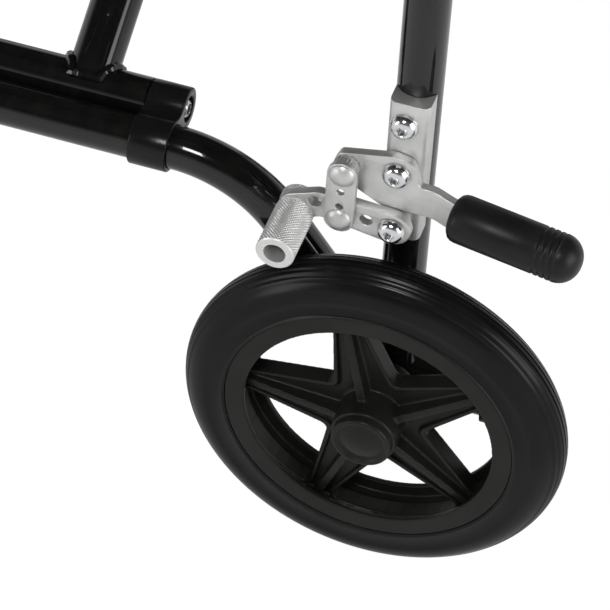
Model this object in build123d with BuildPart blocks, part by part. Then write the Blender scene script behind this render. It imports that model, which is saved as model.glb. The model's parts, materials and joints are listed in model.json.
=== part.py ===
from build123d import *
import os
from math import atan2, cos, degrees, radians, sin, sqrt, tan

# Folding transport wheelchair: two welded side frames joined by a cross brace,
# with a sling seat, a sling back and lever brakes that press a roller on each rear tyre.
# +X is the sitter's left, -Y the front, +Z up. The origin is on the floor, mid length.
# Each side piece is modelled on the left and mirrored in the YZ plane for the right.

# Side frame
frame_x = 215.0  # from the middle of the chair to a side frame's tubes
tube_d = 22.2
tube_wall = 1.5
weld_gap = 0.1  # between a coped tube end and the tube that it is welded to
rail_z = 209.3  # lower rail
guide_z = 425.0  # upper side rail, which carries the seat saddles
arm_z = 672.0
arm_bend = 60.0
upright_reach = 400.0  # rear axle to front upright
rail_bend = 72.0  # starts just behind the rear brace bracket
rail_slope = 54.0
lever_drop = 6.0  # tipping lever below the rear axle
lever_bend = 60.0
lever_reach = 72.0
back_bend_z = 520.0
back_bend = 160.0
back_angle = 8.0
handle_z = 915.0
handle_bend = 32.0
handle_neck = 4.0  # bare tube between the handle's bend and the grip

# Rear wheels
wheel_r = 100.0
wheel_out = 35.7  # wheel's mid plane outboard of the frame's tubes
tyre_w = 30.0
tyre_seat_r = 75.5
tyre_seat_w = 27.2
tread_groove_pitch = 6.5
tread_groove_w = 1.6
tread_groove_depth = 1.2
rim_inner_r = 65.0
rim_lip = 3.0
rim_wall = 3.4
spoke_count = 5
spoke_w = 12.0
spoke_thick = 5.0
spoke_rib_w = 4.5
rib_at_hub = 12.0
rib_at_rim = 6.0
edge_rib_w = 2.0
edge_rib_half = 5.0
window_in = 27.0
window_lip = 1.4
window_corner = 4.0
first_spoke = 33.0
hub_r = 17.0
hub_half = 20.0
bearing_r = 14.0
bearing_w = 8.0
bearing_depth = 7.0  # outboard bearing below the hub's end, which leaves room for the nut
bearing_shoulder_r = 10.0
axle_r = 6.0
axle_head_r = 10.0
axle_head_h = 6.0
axle_nut_h = 5.0
axle_spacer_r = 9.0
running_gap = 0.05
cap_r = 15.6
cap_thick = 4.3
cap_lip = 1.2
cap_skirt = 1.5
cap_wall = 1.6

# Front casters
caster_r = 75.0
caster_tyre_w = 30.0
caster_seat_r = 56.0
caster_seat_w = 26.0
caster_inner_r = 48.0
caster_window_in = 20.0
caster_hub_r = 13.0
caster_hub_half = 17.0
caster_rim_wall = 4.0
caster_trail = 38.0
caster_axle_r = 4.0
fork_gap = 18.5
fork_thick = 5.0
fork_crown_z = 166.0
fork_crown_thick = 8.0
fork_leg_r = 12.0
fork_crown_r = 21.0
fork_boss_r = 10.0
fork_crown_corner = 7.0
fork_boss_gap = 0.2  # under the caster head
stem_r = 8.0
head_r = 17.0
head_low_z = 178.0
head_high_z = 236.0
head_gap = 3.5

# Cross brace and seat
pivot_inset = 22.8  # pivot tube inboard of the lower rail
pivot_rise = 5.4
brace_reach = 175.0  # rear axle to the brace tube from the left pivot
brace_d = 25.4
brace_offset = 28.0  # between the two brace tubes, front to rear
bracket_far = 122.0  # rear axle to the rear face of the rear bracket
bracket_w = 20.0
bracket_ring = 2.2
bracket_gap = 0.5
bracket_margin = 0.3  # between the rear bracket and the start of the rail's bend
pivot_bolt_r = 4.0
pivot_head_r = 6.5
pivot_head_h = 8.0
centre_bolt_r = 5.0
centre_head_r = 9.0
centre_head_h = 6.0
centre_washer_r = 12.0
seat_rail_z = 455.0
seat_rail_front = 392.0
seat_rail_rear = 24.0
saddle_w = 36.0
saddle_wall = 3.2
saddle_gap = 0.3
saddle_horn = 4.0
saddle_reaches = (66.0, 330.0)

# Upholstery and trim
sling_thick = 4.0
sling_gap = 0.4
sling_wrap = 40.0  # how far round the seat rail the seat sling reaches, in degrees
back_low_z = 545.0
back_high_z = 865.0
back_sling_thick = 5.0
pad_l = 260.0
pad_w = 48.0
pad_h = 26.0
pad_corner = 16.0
pad_round = 8.667
pad_sink = 5.0
pad_ahead = 30.0  # front of the pad behind the front upright
panel_thick = 3.0
panel_gap = 0.3
panel_rear_gap = 14.0
grip_r = 16.0
grip_l = 108.0
grip_end = 5.0
grip_round = 4.5
tip_r = 14.0
tip_l = 30.0
tip_end = 7.0
tip_round = 4.9

# Leg rests
ear_thick = 5.0
ear_r = 11.0
ear_reach = 27.0  # front upright to the swing pin
ear_low_z = 333.0
ear_high_z = 407.0
pin_r = 5.0
pin_gap = 0.1
barrel_r = 9.5
barrel_gap = 0.4
hanger_d = 19.0
hanger_z = 370.0
hanger_first = 48.0
hanger_bend = 45.0
hanger_reach = 150.0  # front upright to the foot spindle's joint
spindle_z = 140.0
spindle_r = 8.0
spindle_tail = 13.3  # behind the hanger's tube
hanger_sink = 2.0  # hanger's tube ends this far above the spindle's axis
plate_l = 112.0
plate_w = 145.0
plate_thick = 8.0
plate_barrel_r = 12.0
plate_corner = 22.0
plate_start = 13.0  # behind the plate's rear edge, the hanger's tube

# Brake, with places forward of and above the rear axle
clamp_face = 18.2  # bracket's outboard face from the frame's tubes
clamp_w = 20.0
clamp_depth = 12.5
clamp_low = 106.0
clamp_high = 191.0
clamp_corner = 4.0
lever_thick = 4.8
arm_thick = 5.1
link_thick = 3.0
plate_gap = 0.2
lever_pin_y, lever_pin_z = -2.0, 151.1
link_top_y, link_top_z = -26.4, 149.3
link_low_y, link_low_z = -26.8, 120.6
arm_pin_y, arm_pin_z = -1.0, 120.0
clamp_bolt_y, clamp_bolt_z = -1.5, 178.0
brake_bolt_r = 4.0
brake_head_r = 7.0
brake_head_h = 4.6
nut_r = 7.2
nut_h = 6.0
rivet_r = 3.0
rivet_head_r = 6.6
rivet_head_h = 3.2
rivet_tail_r = 5.28
rivet_tail_h = 1.5
rivet_gap = 0.1
open_pivot_gap = 0.3  # the arm's link hole, which takes up what fixed ratios leave
link_r = 7.5
link_hole_r = 2.0
link_hole_shares = (0.37, 0.7)
arm_hole_r = 3.2
arm_hole_places = ((-39.8, 125.1), (-13.8, 121.8))
arm_eye_r = 9.3
arm_elbow_y, arm_elbow_z = -37.5, 124.2
arm_elbow_r = 7.4
arm_foot_r = 7.7
arm_foot_rise = 4.0
roller_y, roller_z = -49.5, 115.0
roller_r = 9.7
roller_bore_r = 5.6
roller_in = -17.5  # ends of the roller from the wheel's mid plane
roller_out = 23.0
lever_nose = 7.5  # forward of the link's upper rivet
lever_nose_drop = 1.0
lever_brow = 4.0
lever_brow_rise = 6.5
lever_crown = 2.0  # forward of the lever's pin
lever_crown_rise = 10.5
lever_shoulder = 8.5  # behind the lever's pin
lever_step = 11.5
lever_chin_y = -8.5
lever_chin_rise = 0.5
lever_jaw_y, lever_jaw_z = -20.0, 135.0
lever_corner = 3.2
strip_spare = 10.0  # strip drawn past its end, which the profile then cuts
strip_low = 128.3
strip_high = 146.0
bend_y = 17.0
bend_shift = 1.0  # between the bends of the strip's two faces
jog_y = 29.0
jog_out = 5.2
strip_end_y = 66.0
strip_end_out = 11.6
knob_r = 12.0
knob_start_y = 28.0
knob_l = 66.0
knob_nose_r = 10.8
knob_heel_r = 3.6

# Places worked out from the sizes above
tube_r = tube_d / 2
cope_r = tube_r + weld_gap
rise_at_handle = (handle_z - back_bend_z) * tan(radians(back_angle))
handle_reach = handle_bend * tan(radians(45 - back_angle / 2)) + handle_neck + grip_l
rear_reach = rise_at_handle + handle_reach
rail_bend_reach = bracket_far - bracket_margin - rail_bend * tan(radians(rail_slope / 2))
front_reach = upright_reach + hanger_reach + plate_start + plate_l
axle_y = (front_reach - rear_reach) / 2
axle_z = wheel_r
upright_y = axle_y - upright_reach
wheel_x = frame_x + wheel_out
rail_points = [
    (frame_x, upright_y, rail_z),
    (frame_x, axle_y - rail_bend_reach, rail_z),
    (
        frame_x,
        axle_y - rail_bend_reach + (rail_z - axle_z + lever_drop) / tan(radians(rail_slope)),
        axle_z - lever_drop,
    ),
    (frame_x, axle_y + lever_reach, axle_z - lever_drop),
]
rail_bends = [rail_bend, lever_bend]


def cane_y(z):
    """Y of the reclined back tube's centre line at a height above its bend."""
    return axle_y + max(0, z - back_bend_z) * tan(radians(back_angle))


def bent_tube(points, bends, diameter, wall=0):
    """A round tube along straight runs joined by tangent bends, solid where wall is 0."""
    with BuildPart() as piece:
        with BuildLine() as route:
            if bends:
                FilletPolyline(*points, radius=bends)
            else:
                Line(*points)
        with BuildSketch(Plane(route.line @ 0, z_dir=route.line % 0)):
            Circle(diameter / 2)
            if wall:
                Circle(diameter / 2 - wall, mode=Mode.SUBTRACT)
        sweep(path=route.line)
    return piece.part


def rod(start, end, radius):
    """A plain round bar, used to cope and to drill."""
    return bent_tube([start, end], None, 2 * radius)


def save(part, name):
    """Label one finished piece and write it."""
    part.label = name
    export_step(part, f"parts/{name}.step")


def save_pair(part, name):
    """Write a left piece and its mirror image."""
    mirrored = mirror(part, about=Plane.YZ)
    save(part, f"left_{name}")
    save(mirrored, f"right_{name}")


def across(y, z, x_start, x_end, radius):
    """A bar across the chair at a place given from the rear axle."""
    return rod((x_start, axle_y + y, axle_z + z), (x_end, axle_y + y, axle_z + z), radius)


# Side frame: lower rail that bends down behind to become the tipping lever
rail_envelope = bent_tube(rail_points, rail_bends, tube_d + 2 * weld_gap)
with BuildPart() as lower_rail:
    add(bent_tube(rail_points, rail_bends, tube_d, tube_wall))
    add(rod((frame_x, upright_y, head_low_z), (frame_x, upright_y, head_high_z), head_r + weld_gap),
        mode=Mode.SUBTRACT)
    add(across(0, 0, frame_x - tube_d, frame_x + tube_d, axle_r + running_gap), mode=Mode.SUBTRACT)
save_pair(lower_rail.part, "lower_rail")

# Rear post, which leans back above the arm and ends in the push handle
post_points = [
    (frame_x, axle_y, axle_z + 2),
    (frame_x, axle_y, back_bend_z),
    (frame_x, axle_y + rise_at_handle, handle_z),
    (frame_x, axle_y + rise_at_handle + handle_reach - grip_end, handle_z),
]
brake_bolts = (
    (clamp_bolt_y, clamp_bolt_z, clamp_face),
    (lever_pin_y, lever_pin_z, clamp_face + lever_thick + 2 * plate_gap),
    (arm_pin_y, arm_pin_z, clamp_face + lever_thick + arm_thick + 3 * plate_gap),
)
with BuildPart() as rear_post:
    add(bent_tube(post_points, [back_bend, handle_bend], tube_d, tube_wall))
    add(rail_envelope, mode=Mode.SUBTRACT)
    add(across(0, 0, frame_x - tube_d, frame_x + tube_d, axle_r + running_gap), mode=Mode.SUBTRACT)
    for y, z, _ in brake_bolts:
        add(across(y, z, frame_x - tube_d, frame_x + tube_d, brake_bolt_r + running_gap),
            mode=Mode.SUBTRACT)
post_solid = rear_post.part.solids().sort_by(SortBy.VOLUME)[-1]
save_pair(Part(post_solid.wrapped), "rear_post")

# Upper side rail between the upright and the post
with BuildPart() as guide_rail:
    add(bent_tube([(frame_x, upright_y + cope_r, guide_z), (frame_x, axle_y - cope_r, guide_z)],
                  None, tube_d, tube_wall))
save_pair(guide_rail.part, "guide_rail")

# Arm tube that bends down into the front upright, with the caster head and the leg rest's ears
arm_points = [
    (frame_x, cane_y(arm_z), arm_z),
    (frame_x, upright_y, arm_z),
    (frame_x, upright_y, head_high_z),
]
pin_y = upright_y - ear_reach
with BuildPart() as arm_frame:
    add(bent_tube(arm_points, [arm_bend], tube_d))
    with BuildSketch(Plane.XY.offset(head_low_z)):
        with Locations((frame_x, upright_y)):
            Circle(head_r)
    extrude(amount=head_high_z - head_low_z)
    for ear_z in (ear_low_z - ear_thick, ear_high_z):
        with BuildSketch(Plane.XY.offset(ear_z)):
            with BuildLine():
                CenterArc((frame_x, upright_y), tube_r, 0, 360)
                CenterArc((frame_x, pin_y), ear_r, 0, 360)
            make_hull()
        extrude(amount=ear_thick)
    add(rod((frame_x, pin_y, ear_low_z), (frame_x, pin_y, ear_high_z), pin_r))
    add(bent_tube(arm_points, [arm_bend], tube_d - 2 * tube_wall), mode=Mode.SUBTRACT)
    add(rod((frame_x, upright_y, head_low_z), (frame_x, upright_y, head_high_z), stem_r + running_gap),
        mode=Mode.SUBTRACT)
    add(bent_tube(post_points, [back_bend, handle_bend], tube_d + 2 * weld_gap), mode=Mode.SUBTRACT)
save_pair(arm_frame.part, "arm_frame")

# Rubber tip on the tipping lever
lever_end_y = axle_y + lever_reach
lever_z = axle_z - lever_drop
with BuildPart() as tip_cap:
    with BuildSketch(Plane((frame_x, lever_end_y + tip_end - tip_l, lever_z), z_dir=(0, 1, 0))):
        Circle(tip_r)
    extrude(amount=tip_l)
    fillet(tip_cap.faces().sort_by(Axis.Y)[-1].edges(), tip_round)
    add(rod((frame_x, lever_end_y - tip_l, lever_z), (frame_x, lever_end_y, lever_z), tube_r),
        mode=Mode.SUBTRACT)
save_pair(tip_cap.part, "tip_cap")

# Push grip, closed at its end
grip_start_y = axle_y + rear_reach - grip_l
with BuildPart() as push_grip:
    with BuildSketch(Plane((frame_x, grip_start_y, handle_z), z_dir=(0, 1, 0))):
        Circle(grip_r)
    extrude(amount=grip_l)
    fillet(push_grip.faces().sort_by(Axis.Y)[-1].edges(), grip_round)
    add(rod((frame_x, grip_start_y, handle_z), (frame_x, axle_y + rear_reach - grip_end, handle_z),
            tube_r), mode=Mode.SUBTRACT)
save_pair(push_grip.part, "push_grip")

# Wheels turn about an axle across the chair: local x is the radius, local y runs outboard
def wheel_frame(x, y, z):
    """The plane of a wheel's half section and the axis that it is turned about."""
    return Plane((x, y, z), x_dir=(0, 0, 1), z_dir=(0, 1, 0)), Axis((x, y, z), (1, 0, 0))


def round_tyre(place, outer_r, width, seat_r, seat_w, groove_pitch=0):
    """A tyre with a round crown, with two grooves round it where groove_pitch is given."""
    half_plane, turn = wheel_frame(*place)
    crown_r = width / 2
    with BuildPart() as tyre:
        with BuildSketch(half_plane):
            with BuildLine():
                Polyline((outer_r - crown_r, crown_r), (seat_r, seat_w / 2),
                         (seat_r, -seat_w / 2), (outer_r - crown_r, -crown_r))
                ThreePointArc((outer_r - crown_r, -crown_r), (outer_r, 0),
                              (outer_r - crown_r, crown_r))
            make_face()
            if groove_pitch:
                groove_r = outer_r - crown_r + sqrt(crown_r**2 - groove_pitch**2)
                with Locations((groove_r, -groove_pitch), (groove_r, groove_pitch)):
                    Rectangle(2 * tread_groove_depth, tread_groove_w, mode=Mode.SUBTRACT)
        revolve(axis=turn)
    return tyre.part


def spoked_rim(place, seat_r, seat_w, inner_r, wall, hub_r, hub_half, window_in, first_angle):
    """A moulded rim: channel section, star web with ribbed spokes, and a long hub."""
    x, y, z = place
    half_plane, turn = wheel_frame(*place)
    well_r = seat_r - wall
    window_half = 180 / spoke_count - degrees(spoke_w / 2 / well_r)
    window_r = well_r - window_lip
    with BuildSketch() as window:
        with BuildLine():
            side = (window_r * cos(radians(window_half)), window_r * sin(radians(window_half)))
            ThreePointArc(side, (window_r, 0), (side[0], -side[1]))
            Polyline((side[0], -side[1]), (window_in, 0), side)
        make_face()
        fillet(window.vertices(), window_corner)
    with BuildSketch() as window_edge:
        offset(window.sketch, amount=edge_rib_w)
        add(window.sketch, mode=Mode.SUBTRACT)
    with BuildPart() as rim:
        with BuildSketch(half_plane):
            with BuildLine():
                Polyline((inner_r, seat_w / 2), (seat_r, seat_w / 2), (seat_r, -seat_w / 2),
                         (inner_r, -seat_w / 2), (inner_r, rim_lip - seat_w / 2),
                         (well_r, rim_lip - seat_w / 2), (well_r, seat_w / 2 - rim_lip),
                         (inner_r, seat_w / 2 - rim_lip), close=True)
            make_face()
        revolve(axis=turn)
        with BuildSketch(Plane.YZ.offset(x - spoke_thick / 2)):
            with Locations((y, z)):
                Circle(well_r + wall / 2)
                with PolarLocations(0, spoke_count, start_angle=first_angle + 180 / spoke_count):
                    add(window.sketch, mode=Mode.SUBTRACT)
        extrude(amount=spoke_thick)
        with BuildSketch(Plane.YZ.offset(x - edge_rib_half)):
            with Locations((y, z)):
                with PolarLocations(0, spoke_count, start_angle=first_angle + 180 / spoke_count):
                    add(window_edge.sketch)
        extrude(amount=2 * edge_rib_half)
        for spoke in range(spoke_count):
            angle = radians(first_angle + spoke * 360 / spoke_count)
            along = Plane((x, y, z), x_dir=(0, cos(angle), sin(angle)),
                          z_dir=(0, sin(angle), -cos(angle)))
            with BuildSketch(along):
                with BuildLine():
                    Polyline((hub_r / 2, -rib_at_hub), (hub_r / 2, rib_at_hub),
                             (well_r + wall / 2, rib_at_rim), (well_r + wall / 2, -rib_at_rim),
                             close=True)
                make_face()
            extrude(amount=spoke_rib_w / 2, both=True)
        with BuildSketch(Plane.YZ.offset(x - hub_half)):
            with Locations((y, z)):
                Circle(hub_r)
        extrude(amount=2 * hub_half)
    return rim.part


# Rear wheels: tyre, rim, two bearings, axle bolt with its nut, and hub cap
rear_wheel = (wheel_x, axle_y, axle_z)
save_pair(round_tyre(rear_wheel, wheel_r, tyre_w, tyre_seat_r, tyre_seat_w, tread_groove_pitch),
          "rear_tyre")
hub_in = wheel_x - hub_half
hub_out = wheel_x + hub_half
bearing_out = hub_out - bearing_depth - bearing_w
with BuildPart() as rear_rim:
    add(spoked_rim(rear_wheel, tyre_seat_r, tyre_seat_w, rim_inner_r, rim_wall, hub_r, hub_half,
                   window_in, first_spoke))
    add(across(0, 0, hub_in, hub_out, bearing_shoulder_r), mode=Mode.SUBTRACT)
    add(across(0, 0, hub_in, hub_in + bearing_w, bearing_r), mode=Mode.SUBTRACT)
    add(across(0, 0, bearing_out, hub_out, bearing_r), mode=Mode.SUBTRACT)
save_pair(rear_rim.part, "rear_rim")

with BuildPart() as rear_bearings:
    for start in (hub_in, bearing_out):
        with BuildSketch(Plane.YZ.offset(start)):
            with Locations((axle_y, axle_z)):
                Circle(bearing_r)
                Circle(axle_r + running_gap, mode=Mode.SUBTRACT)
        extrude(amount=bearing_w)
save_pair(rear_bearings.part, "rear_bearings")

nut_start = bearing_out + bearing_w + plate_gap
with BuildPart() as rear_axle:
    add(across(0, 0, frame_x - tube_r - axle_head_h, nut_start + axle_nut_h, axle_r))
    with BuildSketch(Plane.YZ.offset(frame_x - tube_r - axle_head_h - weld_gap)):
        with Locations((axle_y, axle_z)):
            RegularPolygon(axle_head_r, 6)
    extrude(amount=axle_head_h)
    with BuildSketch(Plane.YZ.offset(frame_x + tube_r + weld_gap)):
        with Locations((axle_y, axle_z)):
            Circle(axle_spacer_r)
    extrude(amount=hub_in - plate_gap - frame_x - tube_r - weld_gap)
    with BuildSketch(Plane.YZ.offset(nut_start)):
        with Locations((axle_y, axle_z)):
            RegularPolygon(axle_head_r, 6)
    extrude(amount=axle_nut_h)
save_pair(rear_axle.part, "rear_axle")

cap_plane, cap_axis = wheel_frame(hub_out, axle_y, axle_z)
with BuildPart() as hub_cap:
    with BuildSketch(cap_plane):
        with BuildLine():
            dome_r = cap_r - 3 * cap_lip
            ball_r = (dome_r**2 + cap_lip**2) / (2 * cap_lip)
            dome_mid = cap_thick - ball_r + sqrt(ball_r**2 - dome_r**2 / 4)
            inside = cap_thick - cap_wall - cap_lip
            Polyline((0, inside), (dome_r - cap_wall, inside),
                     (bearing_r - cap_wall, 0), (bearing_r - cap_wall, -cap_skirt),
                     (bearing_r, -cap_skirt), (bearing_r, 0), (cap_r, 0),
                     (cap_r, cap_thick - cap_lip), (cap_r - cap_lip, cap_thick),
                     (cap_r - 2 * cap_lip, cap_thick), (dome_r, cap_thick - cap_lip))
            ThreePointArc((dome_r, cap_thick - cap_lip), (dome_r / 2, dome_mid), (0, cap_thick))
            Line((0, cap_thick), (0, inside))
        make_face()
    revolve(axis=cap_axis)
save_pair(hub_cap.part, "hub_cap")

# Casters: fork with its stem and axle bolt, rim and tyre, trailing behind the stem
caster_y = upright_y + caster_trail
caster_place = (frame_x, caster_y, caster_r)
fork_half = fork_gap + fork_thick
with BuildPart() as caster_fork:
    for inner in (-fork_half, fork_gap):
        with BuildSketch(Plane.YZ.offset(frame_x + inner)):
            with BuildLine():
                CenterArc((upright_y, fork_crown_z), fork_crown_r, 0, 360)
                CenterArc((caster_y, caster_r), fork_leg_r, 0, 360)
            make_hull()
            with Locations((upright_y, fork_crown_z + fork_crown_thick / 2 + fork_crown_r)):
                Rectangle(4 * fork_crown_r, 2 * fork_crown_r, mode=Mode.SUBTRACT)
            with Locations((caster_y, caster_r)):
                Circle(caster_axle_r + running_gap, mode=Mode.SUBTRACT)
        extrude(amount=fork_thick)
    with BuildSketch(Plane.XY.offset(fork_crown_z - fork_crown_thick / 2)):
        with Locations((frame_x, upright_y)):
            RectangleRounded(2 * fork_half, 2 * fork_crown_r, fork_crown_corner)
    extrude(amount=fork_crown_thick)
    add(rod((frame_x, upright_y, fork_crown_z), (frame_x, upright_y, head_high_z - head_gap), stem_r))
    with BuildSketch(Plane.XY.offset(fork_crown_z)):
        with Locations((frame_x, upright_y)):
            Circle(fork_boss_r)
    extrude(amount=head_low_z - fork_boss_gap - fork_crown_z)
with BuildPart() as caster_axle:
    add(rod((frame_x - fork_half, caster_y, caster_r), (frame_x + fork_half, caster_y, caster_r),
            caster_axle_r))
    for start in (frame_x - fork_half - nut_h, frame_x + fork_half):
        with BuildSketch(Plane.YZ.offset(start)):
            with Locations((caster_y, caster_r)):
                RegularPolygon(nut_r, 6)
        extrude(amount=nut_h)
save_pair(Compound(children=[*caster_fork.part.solids(), *caster_axle.part.solids()]), "caster_fork")

save_pair(round_tyre(caster_place, caster_r, caster_tyre_w, caster_seat_r, caster_seat_w),
          "caster_tyre")
with BuildPart() as caster_rim:
    add(spoked_rim(caster_place, caster_seat_r, caster_seat_w, caster_inner_r, caster_rim_wall,
                   caster_hub_r, caster_hub_half, caster_window_in, 90))
    add(rod((frame_x - fork_half, caster_y, caster_r), (frame_x + fork_half, caster_y, caster_r),
            caster_axle_r + running_gap), mode=Mode.SUBTRACT)
save_pair(caster_rim.part, "caster_rim")

# Cross brace: each half is a pivot tube, a slanted tube and the opposite seat rail
pivot_x = frame_x - pivot_inset
pivot_z = rail_z + pivot_rise
brace_middle = brace_reach + brace_offset / 2
bracket_near = 2 * brace_middle - bracket_far  # rear axle to the front bracket's front face
pivot_rear = axle_y - bracket_far - bracket_w - bracket_gap
pivot_front = axle_y - bracket_near + bracket_w + bracket_gap


def brace_half(reach):
    """The half that turns on the left pivot and carries the right seat rail."""
    y = axle_y - reach
    low = (pivot_x, y, pivot_z)
    high = (-pivot_x, y, seat_rail_z)
    with BuildPart() as pivot_tube:
        add(rod((pivot_x, pivot_rear, pivot_z), (pivot_x, pivot_front, pivot_z), tube_r))
        add(rod((pivot_x, pivot_rear, pivot_z), (pivot_x, pivot_front, pivot_z),
                pivot_bolt_r + running_gap), mode=Mode.SUBTRACT)
    with BuildPart() as slant:
        add(bent_tube([low, high], None, brace_d, tube_wall))
        for x, z in ((pivot_x, pivot_z), (-pivot_x, seat_rail_z)):
            add(rod((x, y - brace_d, z), (x, y + brace_d, z), cope_r), mode=Mode.SUBTRACT)
        middle_z = (pivot_z + seat_rail_z) / 2
        add(rod((0, y - brace_d, middle_z), (0, y + brace_d, middle_z), centre_bolt_r + running_gap),
            mode=Mode.SUBTRACT)
    with BuildPart() as seat_rail:
        add(bent_tube([(-pivot_x, axle_y - seat_rail_rear, seat_rail_z),
                       (-pivot_x, axle_y - seat_rail_front, seat_rail_z)], None, tube_d, tube_wall))
    longest = slant.part.solids().sort_by(SortBy.VOLUME)[-1]
    return Compound(children=[pivot_tube.part.solid(), longest, seat_rail.part.solid()])


save(brace_half(brace_reach), "brace_left")
save(mirror(brace_half(brace_reach + brace_offset), about=Plane.YZ), "brace_right")

centre_z = (pivot_z + seat_rail_z) / 2
bolt_rear = axle_y - brace_reach + brace_d / 2 + weld_gap
bolt_front = axle_y - brace_reach - brace_offset - brace_d / 2 - weld_gap
washer_rear = axle_y - brace_reach - brace_d / 2 - plate_gap / 2
washer_thick = brace_offset - brace_d - plate_gap
with BuildPart() as centre_bolt:
    add(rod((0, bolt_rear, centre_z), (0, bolt_front, centre_z), centre_bolt_r))
    with BuildSketch(Plane((0, bolt_rear, centre_z), z_dir=(0, 1, 0))):
        Circle(centre_head_r)
    extrude(amount=centre_head_h)
    with BuildSketch(Plane((0, bolt_front, centre_z), z_dir=(0, -1, 0))):
        RegularPolygon(centre_head_r, 6)
    extrude(amount=centre_head_h)
    with BuildSketch(Plane((0, washer_rear, centre_z), z_dir=(0, -1, 0))):
        Circle(centre_washer_r)
    extrude(amount=washer_thick)
save(centre_bolt.part, "centre_bolt")

# Pivot brackets: a ring clamped on the lower rail, drawn up and inboard to the pivot bolt
bracket_faces = (axle_y - bracket_far, axle_y - bracket_near + bracket_w)
with BuildPart() as brace_brackets:
    for rear_face in bracket_faces:
        with BuildSketch(Plane.XZ.offset(-rear_face)):
            with BuildLine():
                CenterArc((frame_x, rail_z), tube_r + bracket_ring, 0, 360)
                CenterArc((pivot_x, pivot_z), tube_r, 0, 360)
            make_hull()
            with Locations((frame_x, rail_z)):
                Circle(tube_r + running_gap, mode=Mode.SUBTRACT)
            with Locations((pivot_x, pivot_z)):
                Circle(pivot_bolt_r, mode=Mode.SUBTRACT)
        extrude(amount=bracket_w)
    for outer_face, inward in ((bracket_faces[0], -1), (bracket_faces[1] - bracket_w, 1)):
        add(rod((pivot_x, outer_face, pivot_z), (pivot_x, outer_face + inward * pivot_head_h, pivot_z),
                pivot_head_r), mode=Mode.SUBTRACT)
save_pair(brace_brackets.part, "brace_brackets")

# Saddles clamped on the upper side rail, open above so that the seat rail lifts out
saddle_r = tube_r + saddle_gap
with BuildPart() as seat_saddles:
    for reach in saddle_reaches:
        with BuildSketch(Plane.XZ.offset(reach - axle_y)):
            with BuildLine():
                CenterArc((frame_x, guide_z), tube_r + saddle_wall, 0, 360)
                CenterArc((pivot_x, seat_rail_z), saddle_r + saddle_wall, 0, 360)
            make_hull()
            with Locations((pivot_x, seat_rail_z + saddle_horn + saddle_r * 2)):
                Rectangle(6 * saddle_r, 4 * saddle_r, mode=Mode.SUBTRACT)
            with Locations((pivot_x, seat_rail_z)):
                Circle(saddle_r, mode=Mode.SUBTRACT)
            with Locations((pivot_x, seat_rail_z + saddle_r)):
                Rectangle(2 * saddle_r, 2 * saddle_r, mode=Mode.SUBTRACT)
            with Locations((frame_x, guide_z)):
                Circle(tube_r + running_gap, mode=Mode.SUBTRACT)
        extrude(amount=saddle_w)
save_pair(seat_saddles.part, "seat_saddles")

# Seat sling over both seat rails, and back sling round both posts
sling_in = tube_r + sling_gap
sling_out = sling_in + sling_thick
wrap = radians(90 - sling_wrap)
with BuildPart() as seat_sling:
    with BuildSketch(Plane.XZ.offset(seat_rail_rear - axle_y)):
        with BuildLine():
            top = seat_rail_z + sling_out
            under = seat_rail_z + sling_in
            right_end = (pivot_x + sling_out * cos(wrap), seat_rail_z + sling_out * sin(wrap))
            right_hem = (pivot_x + sling_in * cos(wrap), seat_rail_z + sling_in * sin(wrap))
            mid_wrap = (radians(90) + wrap) / 2
            Line((-pivot_x, top), (pivot_x, top))
            ThreePointArc((pivot_x, top), (pivot_x + sling_out * cos(mid_wrap),
                                           seat_rail_z + sling_out * sin(mid_wrap)), right_end)
            Line(right_end, right_hem)
            ThreePointArc(right_hem, (pivot_x + sling_in * cos(mid_wrap),
                                      seat_rail_z + sling_in * sin(mid_wrap)), (pivot_x, under))
            Line((pivot_x, under), (-pivot_x, under))
            ThreePointArc((-pivot_x, under), (-pivot_x - sling_in * cos(mid_wrap),
                                              seat_rail_z + sling_in * sin(mid_wrap)),
                          (-right_hem[0], right_hem[1]))
            Line((-right_hem[0], right_hem[1]), (-right_end[0], right_end[1]))
            ThreePointArc((-right_end[0], right_end[1]),
                          (-pivot_x - sling_out * cos(mid_wrap),
                           seat_rail_z + sling_out * sin(mid_wrap)), (-pivot_x, top))
        make_face()
    extrude(amount=seat_rail_front - seat_rail_rear)
save(seat_sling.part, "seat_sling")

lean = radians(back_angle)
back_plane = Plane((0, cane_y(back_low_z), back_low_z), x_dir=(1, 0, 0),
                   z_dir=(0, sin(lean), cos(lean)))
with BuildPart() as back_sling:
    with BuildSketch(back_plane):
        with Locations((frame_x, 0), (-frame_x, 0)):
            Circle(sling_out)
        with Locations((0, -sling_out + back_sling_thick / 2)):
            Rectangle(2 * frame_x, back_sling_thick)
        with Locations((frame_x, 0), (-frame_x, 0)):
            Circle(sling_in, mode=Mode.SUBTRACT)
    extrude(amount=(back_high_z - back_low_z) / cos(lean))
    for x in (frame_x, -frame_x):
        with BuildSketch(Plane.XZ.offset(sling_out - cane_y(arm_z))):
            with Locations((x, arm_z)):
                RectangleRounded(4 * tube_r, 2 * sling_out, sling_thick)
        extrude(amount=4 * sling_out, both=True, mode=Mode.SUBTRACT)
save(back_sling.part, "back_sling")

# Arm pad on the arm tube, and side panel between the arm tube and the upper side rail
pad_front = upright_y + pad_ahead
with BuildPart() as arm_pad:
    with BuildSketch(Plane.XY.offset(arm_z + tube_r - pad_sink)):
        with Locations((frame_x, pad_front + pad_l / 2)):
            RectangleRounded(pad_w, pad_l, pad_corner)
    extrude(amount=pad_h)
    fillet(arm_pad.faces().sort_by(Axis.Z)[-1].edges(), pad_round)
    add(rod((frame_x, pad_front - pad_w, arm_z), (frame_x, pad_front + pad_l + pad_w, arm_z),
            tube_r + running_gap), mode=Mode.SUBTRACT)
save_pair(arm_pad.part, "arm_pad")

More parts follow.
